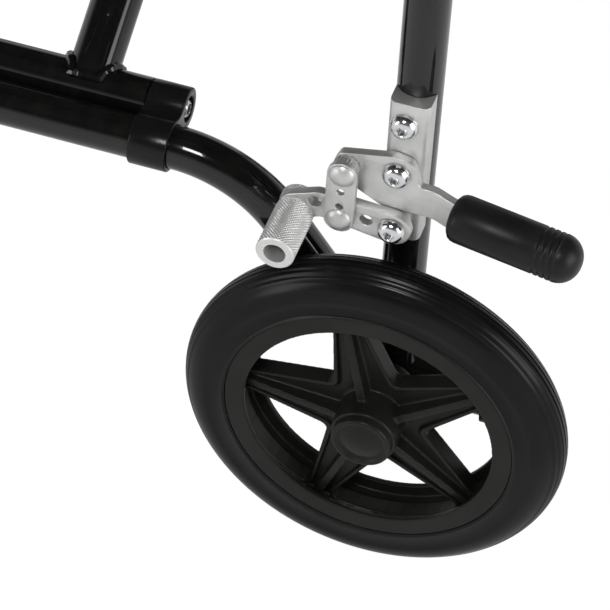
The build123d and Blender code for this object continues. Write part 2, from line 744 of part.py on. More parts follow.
panel_front = upright_y + tube_r + panel_gap
panel_rear = axle_y - tube_r - panel_rear_gap
panel_low = guide_z + tube_r + panel_gap
panel_high = arm_z - tube_r - panel_gap
panel_corner = arm_bend - tube_r - panel_gap
with BuildPart() as side_panel:
    with BuildSketch(Plane.YZ.offset(frame_x - panel_thick / 2)):
        with Locations(((panel_front + panel_rear) / 2, (panel_low + panel_high) / 2)):
            Rectangle(panel_rear - panel_front, panel_high - panel_low)
        notch_h = 2 * (seat_rail_z + saddle_horn + panel_gap - guide_z)
        with Locations(*[(axle_y - reach - saddle_w / 2, guide_z) for reach in saddle_reaches]):
            Rectangle(saddle_w + 2 * panel_gap, notch_h, mode=Mode.SUBTRACT)
    extrude(amount=panel_thick)
    fillet(side_panel.edges().filter_by(Axis.X).group_by(Axis.Z)[-1], panel_corner)
save_pair(side_panel.part, "side_panel")

# Leg rest: swing barrel, bent tube and foot spindle welded into one hanger
spindle_y = upright_y - hanger_reach
hanger_points = [
    (frame_x, pin_y - (pin_r + barrel_r) / 2, hanger_z),
    (frame_x, pin_y - hanger_first, hanger_z),
    (frame_x, spindle_y, spindle_z + hanger_sink),
]
spindle_front = spindle_y - plate_start - plate_l
with BuildPart() as legrest_hanger:
    add(rod((frame_x, pin_y, ear_low_z + barrel_gap), (frame_x, pin_y, ear_high_z - barrel_gap),
            barrel_r))
    add(bent_tube(hanger_points, [hanger_bend], hanger_d))
    add(rod((frame_x, spindle_y + spindle_tail, spindle_z), (frame_x, spindle_front, spindle_z),
            spindle_r))
    add(rod((frame_x, pin_y, ear_low_z), (frame_x, pin_y, ear_high_z), pin_r + pin_gap),
        mode=Mode.SUBTRACT)
save_pair(legrest_hanger.part, "legrest_hanger")

# Footplate, turned up on its spindle as it is parked
plate_rear = spindle_y - plate_start
with BuildPart() as footplate:
    add(rod((frame_x, plate_rear, spindle_z), (frame_x, spindle_front, spindle_z), plate_barrel_r))
    with BuildSketch(Plane.YZ.offset(frame_x - plate_thick / 2)):
        with Locations((plate_rear - plate_l / 2, spindle_z + plate_w / 2)):
            Rectangle(plate_l, plate_w)
    extrude(amount=plate_thick)
    fillet(footplate.edges().filter_by(Axis.X).group_by(Axis.Z)[-1], plate_corner)
    add(rod((frame_x, plate_rear, spindle_z), (frame_x, spindle_front, spindle_z),
            spindle_r + pin_gap), mode=Mode.SUBTRACT)
save_pair(footplate.part, "footplate")

# Brake bracket: an extrusion that hugs the outboard half of the post
with BuildPart() as brake_bracket:
    with BuildSketch(Plane.XY.offset(axle_z + clamp_low)):
        with Locations((frame_x + clamp_face - clamp_depth / 2, axle_y)):
            Rectangle(clamp_depth, clamp_w)
    extrude(amount=clamp_high - clamp_low)
    fillet(brake_bracket.edges().filter_by(Axis.Z).group_by(Axis.X)[-1], clamp_corner)
    with BuildSketch(Plane.YZ.offset(frame_x + clamp_face)):
        with Locations((axle_y + arm_pin_y, axle_z + arm_pin_z)):
            Circle(brake_head_r)
    extrude(amount=lever_thick + 2 * plate_gap)
    add(rod((frame_x, axle_y, axle_z), (frame_x, axle_y, axle_z + 2 * clamp_high), cope_r),
        mode=Mode.SUBTRACT)
    for y, z, _ in brake_bolts:
        add(across(y, z, frame_x, frame_x + 2 * clamp_face, brake_bolt_r + running_gap),
            mode=Mode.SUBTRACT)
save_pair(brake_bracket.part, "brake_bracket")

# Button-head bolts of the brake with their nuts, and the brace's pivot bolts
with BuildPart() as bolts:
    for y, z, face in brake_bolts:
        add(across(y, z, frame_x - tube_r - nut_h, frame_x + face + plate_gap, brake_bolt_r))
        head_plane, head_axis = wheel_frame(frame_x + face + plate_gap / 2, axle_y + y, axle_z + z)
        with BuildSketch(head_plane):
            with BuildLine():
                Line((0, 0), (brake_head_r, 0))
                ThreePointArc((brake_head_r, 0), (brake_head_r * 0.8, brake_head_h * 0.68),
                              (brake_head_r / 2, brake_head_h))
                Line((brake_head_r / 2, brake_head_h), (0, brake_head_h))
                Line((0, brake_head_h), (0, 0))
            make_face()
        revolve(axis=head_axis)
        with BuildSketch(Plane.YZ.offset(frame_x - tube_r - nut_h - weld_gap)):
            with Locations((axle_y + y, axle_z + z)):
                RegularPolygon(nut_r, 6)
        extrude(amount=nut_h)
    for outer_face, inward in ((bracket_faces[0], -1), (bracket_faces[1] - bracket_w, 1)):
        add(rod((pivot_x, outer_face, pivot_z), (pivot_x, outer_face + inward * pivot_head_h, pivot_z),
                pivot_head_r))
        add(rod((pivot_x, outer_face, pivot_z),
                (pivot_x, outer_face + inward * 2 * bracket_w, pivot_z), pivot_bolt_r))
save_pair(bolts.part, "bolts")


# Brake linkage, cut from flat plate that lies outboard of the bracket
def flat_plate(sketch_on, inner, thick):
    """Extrude a sketch drawn forward and up from the rear axle."""
    with BuildPart() as plate:
        with BuildSketch(Plane.YZ.offset(frame_x + inner)):
            with Locations((axle_y, axle_z)):
                add(sketch_on)
        extrude(amount=thick)
    return plate.part


lever_in = clamp_face + plate_gap
arm_in = lever_in + lever_thick + plate_gap
link_in = arm_in + arm_thick + plate_gap
with BuildSketch() as lever_shape:
    with BuildLine():
        Polyline((link_top_y - lever_nose, link_top_z - lever_nose_drop),
                 (link_top_y - lever_brow, link_top_z + lever_brow_rise),
                 (lever_pin_y - lever_crown, lever_pin_z + lever_crown_rise),
                 (lever_pin_y + lever_shoulder, lever_pin_z + lever_shoulder),
                 (lever_pin_y + lever_step, strip_high), (strip_end_y + strip_spare, strip_high),
                 (strip_end_y + strip_spare, strip_low), (lever_chin_y, strip_low + lever_chin_rise),
                 (lever_jaw_y, lever_jaw_z), close=True)
    make_face()
    fillet(lever_shape.vertices().filter_by(lambda v: v.X < bend_y), lever_corner)
    with Locations((lever_pin_y, lever_pin_z)):
        Circle(brake_bolt_r + running_gap, mode=Mode.SUBTRACT)
    with Locations((link_top_y, link_top_z)):
        Circle(rivet_r + rivet_gap, mode=Mode.SUBTRACT)
lever_x = frame_x + lever_in
with BuildPart() as brake_lever:
    add(flat_plate(lever_shape.sketch, lever_in - plate_gap, 2 * strip_end_out + lever_thick))
    with BuildSketch(Plane.XY.offset(axle_z)):
        with BuildLine():
            Polyline((lever_x, axle_y - strip_end_y), (lever_x, axle_y + bend_y),
                     (lever_x + jog_out, axle_y + jog_y),
                     (lever_x + strip_end_out, axle_y + strip_end_y),
                     (lever_x + strip_end_out + lever_thick, axle_y + strip_end_y),
                     (lever_x + jog_out + lever_thick, axle_y + jog_y - bend_shift),
                     (lever_x + lever_thick, axle_y + bend_y - bend_shift),
                     (lever_x + lever_thick, axle_y - strip_end_y), close=True)
        make_face()
    extrude(amount=2 * clamp_high, mode=Mode.INTERSECT)
save_pair(brake_lever.part, "brake_lever")

# Rubber knob pushed over the lever's strip
knob_z = axle_z + (strip_low + strip_high) / 2
knob_turn = atan2(strip_end_out - jog_out, strip_end_y - jog_y)
knob_along = (sin(knob_turn), cos(knob_turn), 0)
knob_place = (lever_x + jog_out + lever_thick / 2, axle_y + knob_start_y, knob_z)
knob_plane = Plane(knob_place, x_dir=(0, 0, 1), z_dir=knob_along)
with BuildPart() as brake_knob:
    with BuildSketch(knob_plane):
        Circle(knob_r)
    extrude(amount=knob_l)
    fillet(brake_knob.faces().sort_by(Axis.Y)[-1].edges(), knob_nose_r)
    fillet(brake_knob.faces().sort_by(Axis.Y)[0].edges(), knob_heel_r)
    add(brake_lever.part, mode=Mode.SUBTRACT)
save_pair(brake_knob.part, "brake_knob")

# Link with its two rivets, the upper one through a spacer
with BuildSketch() as link_shape:
    with BuildLine():
        CenterArc((link_top_y, link_top_z), link_r, 0, 360)
        CenterArc((link_low_y, link_low_z), link_r, 0, 360)
    make_hull()
    for share in link_hole_shares:
        with Locations((link_top_y + share * (link_low_y - link_top_y),
                        link_top_z + share * (link_low_z - link_top_z))):
            Circle(link_hole_r, mode=Mode.SUBTRACT)
with BuildPart() as brake_link:
    add(flat_plate(link_shape.sketch, link_in, link_thick))
    add(across(link_top_y, link_top_z, frame_x + arm_in, frame_x + link_in, rivet_head_r))
    for y, z, inner in ((link_top_y, link_top_z, lever_in - plate_gap),
                        (link_low_y, link_low_z, arm_in - plate_gap)):
        add(across(y, z, frame_x + inner, frame_x + link_in, rivet_r))
        add(across(y, z, frame_x + inner - rivet_tail_h, frame_x + inner, rivet_tail_r))
        head_plane, head_axis = wheel_frame(frame_x + link_in + link_thick, axle_y + y, axle_z + z)
        with BuildSketch(head_plane):
            with BuildLine():
                Polyline((rivet_head_r, 0), (0, 0), (0, rivet_head_h))
                ThreePointArc((0, rivet_head_h), (rivet_head_r * 0.7, rivet_head_h * 0.62),
                              (rivet_head_r, 0))
            make_face()
        revolve(axis=head_axis)
save_pair(brake_link.part, "brake_link")

# Arm from the lower pivot to the roller, coped to the roller that it is welded to
with BuildSketch() as arm_shape:
    with BuildLine():
        CenterArc((arm_pin_y, arm_pin_z), arm_eye_r, 0, 360)
        CenterArc((arm_elbow_y, arm_elbow_z), arm_elbow_r, 0, 360)
    make_hull()
    with BuildLine():
        CenterArc((arm_elbow_y, arm_elbow_z), arm_elbow_r, 0, 360)
        CenterArc((roller_y, roller_z + arm_foot_rise), arm_foot_r, 0, 360)
    make_hull()
    for place in arm_hole_places:
        with Locations(place):
            Circle(arm_hole_r, mode=Mode.SUBTRACT)
    with Locations((roller_y, roller_z)):
        Circle(roller_r + weld_gap, mode=Mode.SUBTRACT)
    with Locations((arm_pin_y, arm_pin_z)):
        Circle(brake_bolt_r + running_gap, mode=Mode.SUBTRACT)
    with Locations((link_low_y, link_low_z)):
        Circle(rivet_r + open_pivot_gap, mode=Mode.SUBTRACT)
arm_solid = flat_plate(arm_shape.sketch, arm_in, arm_thick)
save_pair(Part(arm_solid.solids().sort_by(SortBy.VOLUME)[-1].wrapped), "brake_arm")

with BuildPart() as brake_roller:
    add(across(roller_y, roller_z, wheel_x + roller_in, wheel_x + roller_out, roller_r))
    add(across(roller_y, roller_z, wheel_x + roller_in, wheel_x + roller_out, roller_bore_r),
        mode=Mode.SUBTRACT)
save_pair(brake_roller.part, "brake_roller")
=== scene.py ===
"""Looks of the folding transport wheelchair. Lengths are in mm until a mesh is made."""
import json
from math import atan2, cos, pi, radians, sin, sqrt, tan

import bmesh
import bpy
from mathutils import Matrix, Vector, noise


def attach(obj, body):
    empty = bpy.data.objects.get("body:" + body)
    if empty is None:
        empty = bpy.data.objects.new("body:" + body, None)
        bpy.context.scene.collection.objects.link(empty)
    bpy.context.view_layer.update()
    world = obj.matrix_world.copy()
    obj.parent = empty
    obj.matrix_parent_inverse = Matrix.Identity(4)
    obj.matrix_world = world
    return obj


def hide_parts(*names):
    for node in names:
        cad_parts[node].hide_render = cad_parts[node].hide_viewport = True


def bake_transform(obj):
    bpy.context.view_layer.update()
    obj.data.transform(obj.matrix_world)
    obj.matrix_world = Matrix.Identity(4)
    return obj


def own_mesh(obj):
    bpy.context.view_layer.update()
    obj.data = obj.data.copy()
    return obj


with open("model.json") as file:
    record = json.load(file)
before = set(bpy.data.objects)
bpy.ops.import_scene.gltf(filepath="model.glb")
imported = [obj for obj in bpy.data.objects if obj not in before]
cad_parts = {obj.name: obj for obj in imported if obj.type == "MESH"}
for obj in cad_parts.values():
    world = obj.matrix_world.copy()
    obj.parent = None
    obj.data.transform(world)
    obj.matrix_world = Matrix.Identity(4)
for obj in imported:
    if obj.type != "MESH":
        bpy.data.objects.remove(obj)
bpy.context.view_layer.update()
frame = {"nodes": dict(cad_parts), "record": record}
nodes = frame["nodes"]
MM = 0.001

SQUARE = ((-1, -1), (1, -1), (1, 1), (-1, 1))

# Driving sizes, the same as in the part's source
frame_x, tube_r = 215.0, 11.1
rail_z, guide_z, arm_z = 209.3, 425.0, 672.0
upright_reach, arm_bend = 400.0, 60.0
rail_bend, rail_slope, lever_drop, lever_bend, lever_reach = 72.0, 54.0, 6.0, 60.0, 72.0
back_bend_z, back_bend, back_angle, handle_z, handle_bend = 520.0, 160.0, 8.0, 915.0, 32.0
handle_neck, grip_r, grip_l, grip_end = 4.0, 16.0, 108.0, 5.0
wheel_r, wheel_out = 100.0, 35.7
bracket_far, bracket_margin, bracket_w = 122.0, 0.3, 20.0
hanger_reach, plate_start, plate_l = 150.0, 13.0, 112.0
pivot_inset, pivot_rise = 22.8, 5.4
brace_reach, brace_offset, brace_r = 175.0, 28.0, 12.7
seat_rail_z, seat_rail_front, seat_rail_rear = 455.0, 392.0, 24.0
back_low_z, back_high_z = 545.0, 865.0

rise_at_handle = (handle_z - back_bend_z) * tan(radians(back_angle))
handle_reach = handle_bend * tan(radians(45 - back_angle / 2)) + handle_neck + grip_l
rear_reach = rise_at_handle + handle_reach
axle_y = (upright_reach + hanger_reach + plate_start + plate_l - rear_reach) / 2
axle_z = wheel_r
upright_y = axle_y - upright_reach
wheel_x = frame_x + wheel_out
pivot_x, pivot_z = frame_x - pivot_inset, rail_z + pivot_rise
rail_bend_reach = bracket_far - bracket_margin - rail_bend * tan(radians(rail_slope / 2))


# Finishes
def new_material(name, color, rough, metallic=0.0, coat=0.0, coat_rough=0.05, sheen=0.0, spec=0.5):
    """A Principled material with its constant values set on the shader's own sockets."""
    mat = bpy.data.materials.new(name)
    mat.use_nodes = True
    shader = mat.node_tree.nodes["Principled BSDF"]
    shader.inputs["Base Color"].default_value = (*color, 1)
    shader.inputs["Roughness"].default_value = rough
    shader.inputs["Metallic"].default_value = metallic
    shader.inputs["Coat Weight"].default_value = coat
    shader.inputs["Coat Roughness"].default_value = coat_rough
    shader.inputs["Sheen Weight"].default_value = sheen
    shader.inputs["Specular IOR Level"].default_value = spec
    return mat, mat.node_tree, shader


def coords(tree, scale=(1, 1, 1), turn=(0, 0, 0)):
    """Object coordinates, scaled and turned."""
    source = tree.nodes.new("ShaderNodeTexCoord")
    mapping = tree.nodes.new("ShaderNodeMapping")
    mapping.inputs["Scale"].default_value = scale
    mapping.inputs["Rotation"].default_value = turn
    tree.links.new(source.outputs["Object"], mapping.inputs["Vector"])
    return mapping.outputs["Vector"]


def noise_of(tree, vector, scale, detail=4.0):
    """Fractal noise over the coordinates, between 0 and 1."""
    node = tree.nodes.new("ShaderNodeTexNoise")
    node.inputs["Scale"].default_value = scale
    node.inputs["Detail"].default_value = detail
    node.inputs["Roughness"].default_value = 0.55
    tree.links.new(vector, node.inputs["Vector"])
    return node.outputs["Fac"]


def ramp_of(tree, value, stops):
    """A colour ramp over a value: stops are (place, colour) with a grey or an RGB colour."""
    node = tree.nodes.new("ShaderNodeValToRGB")
    ramp = node.color_ramp
    while len(ramp.elements) < len(stops):
        ramp.elements.new(0.5)
    for element, (place, color) in zip(ramp.elements, stops):
        element.position = place
        grey = (color,) * 3 if isinstance(color, (int, float)) else color
        element.color = (*grey, 1)
    tree.links.new(value, node.inputs["Fac"])
    return node.outputs["Color"]


def vary(tree, shader, socket, value, stops):
    """Let a ramp over a value drive one of the shader's sockets."""
    tree.links.new(ramp_of(tree, value, stops), shader.inputs[socket])


def math_of(tree, operation, a, b):
    """A maths node over two sockets or numbers."""
    node = tree.nodes.new("ShaderNodeMath")
    node.operation = operation
    for socket, value in zip(node.inputs, (a, b)):
        if isinstance(value, (int, float)):
            socket.default_value = value
        else:
            tree.links.new(value, socket)
    return node.outputs[0]


def bump_of(tree, shader, height, distance, strength, under=None):
    """Bump from a height, over another bump's normal where one is given."""
    node = tree.nodes.new("ShaderNodeBump")
    node.inputs["Strength"].default_value = strength
    node.inputs["Distance"].default_value = distance
    tree.links.new(height, node.inputs["Height"])
    if under:
        tree.links.new(under, node.inputs["Normal"])
    tree.links.new(node.outputs["Normal"], shader.inputs["Normal"])
    return node.outputs["Normal"]


def gloss_paint():
    """Gloss black paint: slight orange peel, uneven gloss and faint handling marks."""
    mat, tree, shader = new_material("frame_paint", (0.005, 0.005, 0.005), 0.12, coat=0.5, coat_rough=0.03,
                                     spec=0.2)
    place = coords(tree)
    vary(tree, shader, "Roughness", noise_of(tree, place, 14, 5), ((0.35, 0.08), (0.7, 0.17)))
    marks = noise_of(tree, coords(tree, (1, 1, 0.2)), 90, 6)
    vary(tree, shader, "Base Color", marks, ((0.45, 0.004), (0.8, (0.008, 0.008, 0.007))))
    bump_of(tree, shader, noise_of(tree, place, 300, 2), 0.00002, 0.2)
    return mat


def satin_alloy():
    """Satin aluminium: blasted grain, faint clouding and fine drawn lines."""
    mat, tree, shader = new_material("cast_aluminium", (0.66, 0.66, 0.65), 0.42, metallic=0.85)
    place = coords(tree)
    vary(tree, shader, "Base Color", noise_of(tree, place, 60, 5),
         ((0.3, (0.50, 0.50, 0.49)), (0.7, (0.63, 0.63, 0.62))))
    vary(tree, shader, "Roughness", noise_of(tree, place, 900, 2), ((0.3, 0.34), (0.7, 0.52)))
    lines = noise_of(tree, coords(tree, (1, 1, 0.02)), 1400, 1)
    grain = bump_of(tree, shader, noise_of(tree, place, 2600, 2), 0.00003, 0.5)
    bump_of(tree, shader, lines, 0.00003, 0.5, grain)
    return mat


def knurled_alloy():
    """Bare aluminium of the roller, with uneven gloss and a fine grain over the modelled knurl."""
    mat, tree, shader = new_material("knurl", (0.70, 0.70, 0.69), 0.38, metallic=0.8)
    place = coords(tree)
    vary(tree, shader, "Roughness", noise_of(tree, place, 500, 3), ((0.3, 0.3), (0.7, 0.5)))
    bump_of(tree, shader, noise_of(tree, place, 3000, 2), 0.00003, 0.4)
    return mat


def bright_steel(name, color, rough):
    """Zinc plated steel: bright, with a fine grain, uneven gloss and clouding."""
    mat, tree, shader = new_material(name, color, rough, metallic=1.0)
    place = coords(tree)
    dull = tuple(c * 0.82 for c in color)
    vary(tree, shader, "Base Color", noise_of(tree, place, 140), ((0.3, dull), (0.65, color)))
    vary(tree, shader, "Roughness", noise_of(tree, place, 600, 2), ((0.3, rough * 0.7), (0.7, rough * 1.5)))
    bump_of(tree, shader, noise_of(tree, place, 1500, 2), 0.00002, 0.4)
    return mat


def moulded(name, color, rough, grain, depth, spec):
    """Black moulded plastic or rubber with a fine surface grain and uneven sheen."""
    mat, tree, shader = new_material(name, color, rough, spec=spec)
    place = coords(tree)
    low = tuple(c * 0.8 for c in color)
    high = tuple(c * 1.3 for c in color)
    vary(tree, shader, "Base Color", noise_of(tree, place, 35, 5), ((0.3, low), (0.7, high)))
    vary(tree, shader, "Roughness", noise_of(tree, place, 90, 5), ((0.3, rough * 0.85), (0.7, rough * 1.15)))
    bump_of(tree, shader, noise_of(tree, place, grain, 3), depth, 0.6)
    return mat


def woven_nylon():
    """Black woven nylon: crossed yarns across and along the sling, soft sheen."""
    mat, tree, shader = new_material("nylon", (0.022, 0.022, 0.025), 0.72, sheen=0.35)
    yarns = []
    for turn in ((0, 0, 0), (0, 0, pi / 2), (0, pi / 2, 0)):
        wave = tree.nodes.new("ShaderNodeTexWave")
        wave.bands_direction = "X"
        wave.wave_profile = "SIN"
        wave.inputs["Scale"].default_value = 190
        wave.inputs["Distortion"].default_value = 0.4
        wave.inputs["Detail"].default_value = 1.0
        tree.links.new(coords(tree, turn=turn), wave.inputs["Vector"])
        yarns.append(wave.outputs["Fac"])
    cloth = math_of(tree, "MAXIMUM", math_of(tree, "MAXIMUM", yarns[0], yarns[1]), yarns[2])
    fuzz = noise_of(tree, coords(tree), 45, 5)
    vary(tree, shader, "Base Color", math_of(tree, "MULTIPLY", cloth, fuzz),
         ((0.15, (0.010, 0.010, 0.012)), (0.6, (0.034, 0.034, 0.038))))
    bump_of(tree, shader, cloth, 0.00025, 0.8)
    return mat


def vinyl():
    """Black upholstery vinyl with a pebbled grain."""
    mat, tree, shader = new_material("pad_vinyl", (0.02, 0.02, 0.021), 0.46)
    place = coords(tree)
    pebbles = tree.nodes.new("ShaderNodeTexVoronoi")
    pebbles.feature = "DISTANCE_TO_EDGE"
    pebbles.inputs["Scale"].default_value = 620
    tree.links.new(place, pebbles.inputs["Vector"])
    vary(tree, shader, "Base Color", noise_of(tree, place, 40, 5),
         ((0.3, (0.016, 0.016, 0.017)), (0.7, (0.026, 0.026, 0.027))))
    vary(tree, shader, "Roughness", noise_of(tree, place, 120), ((0.3, 0.38), (0.7, 0.56)))
    bump_of(tree, shader, ramp_of(tree, pebbles.outputs["Distance"], ((0.0, 0.0), (0.25, 1.0))), 0.00018, 0.6)
    return mat


MATERIALS = {
    "frame_paint": gloss_paint(),
    "cast_aluminium": satin_alloy(),
    "knurl": knurled_alloy(),
    "bright_steel": bright_steel("bright_steel", (0.74, 0.75, 0.76), 0.16),
    "bearing_steel": bright_steel("bearing_steel", (0.6, 0.61, 0.62), 0.25),
    "rim_plastic": moulded("rim_plastic", (0.009, 0.009, 0.008), 0.36, 900, 0.00005, spec=0.16),
    "tyre": moulded("tyre", (0.005, 0.005, 0.005), 0.22, 500, 0.00003, spec=0.14),
    "black_rubber": moulded("black_rubber", (0.008, 0.008, 0.008), 0.36, 1300, 0.00004, spec=0.18),
    "black_plastic": moulded("black_plastic", (0.006, 0.006, 0.006), 0.2, 700, 0.00004, spec=0.2),
    "nylon": woven_nylon(),
    "pad_vinyl": vinyl(),
}
node_slots = {sub["node"]: sub["material_slot"] for sub in frame["record"]["subparts"]}
for name, piece in nodes.items():
    piece.data.materials.clear()
    piece.data.materials.append(MATERIALS[node_slots[name]])


# Meshes
def finish_mesh(bm, mirror):
    """A mesh in metres from a bmesh in mm, mirrored in the YZ plane for the right side."""
    bmesh.ops.remove_doubles(bm, verts=bm.verts, dist=0.0005)
    bmesh.ops.recalc_face_normals(bm, faces=bm.faces)
    mesh = bpy.data.meshes.new("piece")
    bm.to_mesh(mesh)
    mesh.transform(Matrix.Diagonal((-MM if mirror else MM, MM, MM, 1)))
    if mirror:
        mesh.flip_normals()
    return mesh


def place_piece(name, mesh, slot, body, stands_for=(), sharp=35):
    """Link a mesh as a piece that rides a body, with its finish and the nodes that it stands for."""
    piece = bpy.data.objects.new(name, mesh)
    bpy.context.scene.collection.objects.link(piece)
    mesh.materials.clear()
    mesh.materials.append(MATERIALS[slot])
    mesh.shade_smooth()
    if sharp:
        mesh.set_sharp_from_angle(angle=radians(sharp))
    if body:
        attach(piece, body)
    if stands_for:
        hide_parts(*stands_for)
    return piece


def place_pair(name, bm, slot, body, node=None, sharp=35):
    """The left piece and its mirror image. The body and the node are named without their side."""
    for side in ("left", "right"):
        mesh = finish_mesh(bm, side == "right")
        stands_for = (f"{side}_{node}",) if node else ()
        place_piece(f"{side}_{name}", mesh, slot, f"{side}_{body}", stands_for, sharp)
    bm.free()


def filleted(points, bends, steps=10):
    """The points of a route with its corners rounded by tangent arcs."""
    points = [Vector(p) for p in points]
    out = [points[0]]
    for i, radius in enumerate(bends, 1):
        corner = points[i]
        back = (points[i - 1] - corner).normalized()
        ahead = (points[i + 1] - corner).normalized()
        half = back.angle(ahead) / 2
        reach = radius / tan(half)
        start, end = corner + back * reach, corner + ahead * reach
        centre = corner + (back + ahead).normalized() * (radius / sin(half))
        sweep = pi - 2 * half
        axis = (start - centre).cross(end - centre).normalized()
        for k in range(steps + 1):
            turn = Matrix.Rotation(sweep * k / steps, 3, axis)
            out.append(centre + turn @ (start - centre))
    out.append(points[-1])
    return out


def axes_of(axis):
    """A unit axis and two unit directions square to it."""
    axis = Vector(axis).normalized()
    side = axis.orthogonal().normalized()
    return axis, side, axis.cross(side)


def ring_of(bm, centre, side, other, radius, count):
    """A ring of vertices. radius is one radius or a function of the angle."""
    ring = []
    for k in range(count):
        t = 2 * pi * k / count
        r = radius(t) if callable(radius) else radius
        ring.append(bm.verts.new(centre + r * (side * cos(t) + other * sin(t))))
    return ring


def skin(bm, rings):
    """Join neighbouring rings with faces. A ring that is one repeated vertex gives triangles."""
    for low, high in zip(rings, rings[1:]):
        for k in range(len(low)):
            n = (k + 1) % len(low)
            face = list(dict.fromkeys((low[k], low[n], high[n], high[k])))
            if len(face) > 2:
                bm.faces.new(face)


def capped_skin(bm, rings):
    """A closed solid: the skin between the rings and a cap on each end."""
    skin(bm, rings)
    bm.faces.new(rings[0])
    bm.faces.new(rings[-1])


def sweep_ring(bm, path, radii, segments=48, closed=False):
    """A round skin along a path. radii is one radius or one for each point."""
    if isinstance(radii, (int, float)):
        radii = [radii] * len(path)
    count = len(path)
    tangents = []
    for i in range(count):
        a = path[(i - 1) % count] if closed or i else path[0]
        b = path[(i + 1) % count] if closed or i < count - 1 else path[-1]
        tangents.append((b - a).normalized())
    side = tangents[0].orthogonal().normalized()
    rings = []
    for point, tangent, radius in zip(path, tangents, radii):
        side = (side - tangent * side.dot(tangent)).normalized()
        rings.append(ring_of(bm, point, side, tangent.cross(side), radius, segments))
    if not closed:
        capped_skin(bm, rings)
        return
    first, last = rings[0], rings[-1]
    shift = min(range(segments), key=lambda s: (last[0].co - first[s].co).length)
    skin(bm, [*rings, first[shift:] + first[:shift]])


def tube(points, bends, radius, segments=48, steps=10):
    """A solid round bar along a route with rounded corners."""
    bm = bmesh.new()
    sweep_ring(bm, filleted(points, bends, steps), radius, segments)
    return bm


def lathe(bm, profile, origin, axis, segments=96):
    """Turn a closed profile of (radius, along) points about an axis through origin."""
    axis, side, other = axes_of(axis)
    rings = []
    for radius, along in profile:
        centre = Vector(origin) + axis * along
        if radius < 1e-6:
            rings.append([bm.verts.new(centre)] * segments)
        else:
            rings.append(ring_of(bm, centre, side, other, radius, segments))
    skin(bm, rings + rings[:1])


def join(target, other):
    """Copy one bmesh into another."""
    mesh = bpy.data.meshes.new("join")
    other.to_mesh(mesh)
    other.free()
    target.from_mesh(mesh)
    bpy.data.meshes.remove(mesh)


def rounded(corners, steps=6):
    """A closed outline from (u, v, radius) corners, each rounded by its radius."""
    out = []
    count = len(corners)
    for i, (u, v, radius) in enumerate(corners):
        corner = Vector((u, v))
        back = (Vector(corners[i - 1][:2]) - corner).normalized()
        ahead = (Vector(corners[(i + 1) % count][:2]) - corner).normalized()
        half = back.angle(ahead) / 2
        if radius <= 0 or half > pi / 2 - 0.01:
            out.append(corner)
            continue
        reach = radius / tan(half)
        start = corner + back * reach
        end = corner + ahead * reach
        centre = corner + (back + ahead).normalized() * (radius / sin(half))
        a = start - centre
        turn = a.angle_signed(end - centre)
        for k in range(steps + 1):
            out.append(centre + Matrix.Rotation(-turn * k / steps, 2) @ a)
    return out


def slab(u0, v0, u1, v1, low_r, high_r, steps=8):
    """A box outline with one radius for the corners at v0 and another for those at v1."""
    return rounded([(u0, v0, low_r), (u1, v0, low_r), (u1, v1, high_r), (u0, v1, high_r)], steps)


def circle(u, v, radius, count=32):
    angles = [2 * pi * k / count for k in range(count)]
    return [Vector((u + radius * cos(t), v + radius * sin(t))) for t in angles]


def chain(circles):
    """The outline round a chain of (u, v, radius) circles joined by their tangents, its hollows eased."""
    concave, steps, mid_steps = 6.0, 14, 6

    def tangent(a, b, hand):
        start, end = Vector(a[:2]), Vector(b[:2])
        d = end - start
        lean = (a[2] - b[2]) / d.length
        d.normalize()
        normal = Vector((-d.y, d.x)) * hand
        return normal * sqrt(1 - lean**2) + d * lean

    def side(order, hand):
        out = []
        for i in range(len(order) - 1):
            a, b = order[i], order[i + 1]
            m = tangent(a, b, hand)
            out.append((Vector(a[:2]) + a[2] * m, Vector(b[:2]) + b[2] * m, m))
        points = [out[0][0]]
        for (p0, p1, m0), (q0, q1, m1), mid in zip(out, out[1:], order[1:]):
            turn = m0.x * m1.y - m0.y * m1.x
            if turn * hand < 0:
                angle = m0.angle_signed(m1)
                points += [Vector(mid[:2]) + mid[2] * (Matrix.Rotation(-angle * k / mid_steps, 2) @ m0)
                           for k in range(mid_steps + 1)]
            else:
                d0, d1 = (p1 - p0).normalized(), (q1 - q0).normalized()
                cross = d0.x * d1.y - d0.y * d1.x
                t = ((q0 - p0).x * d1.y - (q0 - p0).y * d1.x) / cross
                meet = p0 + d0 * t
                reach = concave * tan(abs(d0.angle(d1)) / 2)
                start, end = meet - d0 * reach, meet + d1 * reach
                points += [start * (1 - s) ** 2 + meet * 2 * s * (1 - s) + end * s * s
                           for s in (k / mid_steps for k in range(mid_steps + 1))]
        points.append(out[-1][1])
        return points, out[0][2], out[-1][2]

    left, left_first, left_last = side(circles, 1)
    right, right_first, right_last = side(circles, -1)
    end_turn = left_last.angle_signed(right_last) % (2 * pi)
    start_turn = right_first.angle_signed(left_first) % (2 * pi)
    last, first = circles[-1], circles[0]
    outline = left
    outline += [Vector(last[:2]) + last[2] * (Matrix.Rotation(-end_turn * k / steps, 2) @ left_last)
                for k in range(1, steps)]
    outline += right[::-1]
    outline += [Vector(first[:2]) + first[2] * (Matrix.Rotation(-start_turn * k / steps, 2) @ right_first)
                for k in range(1, steps)]
    return outline


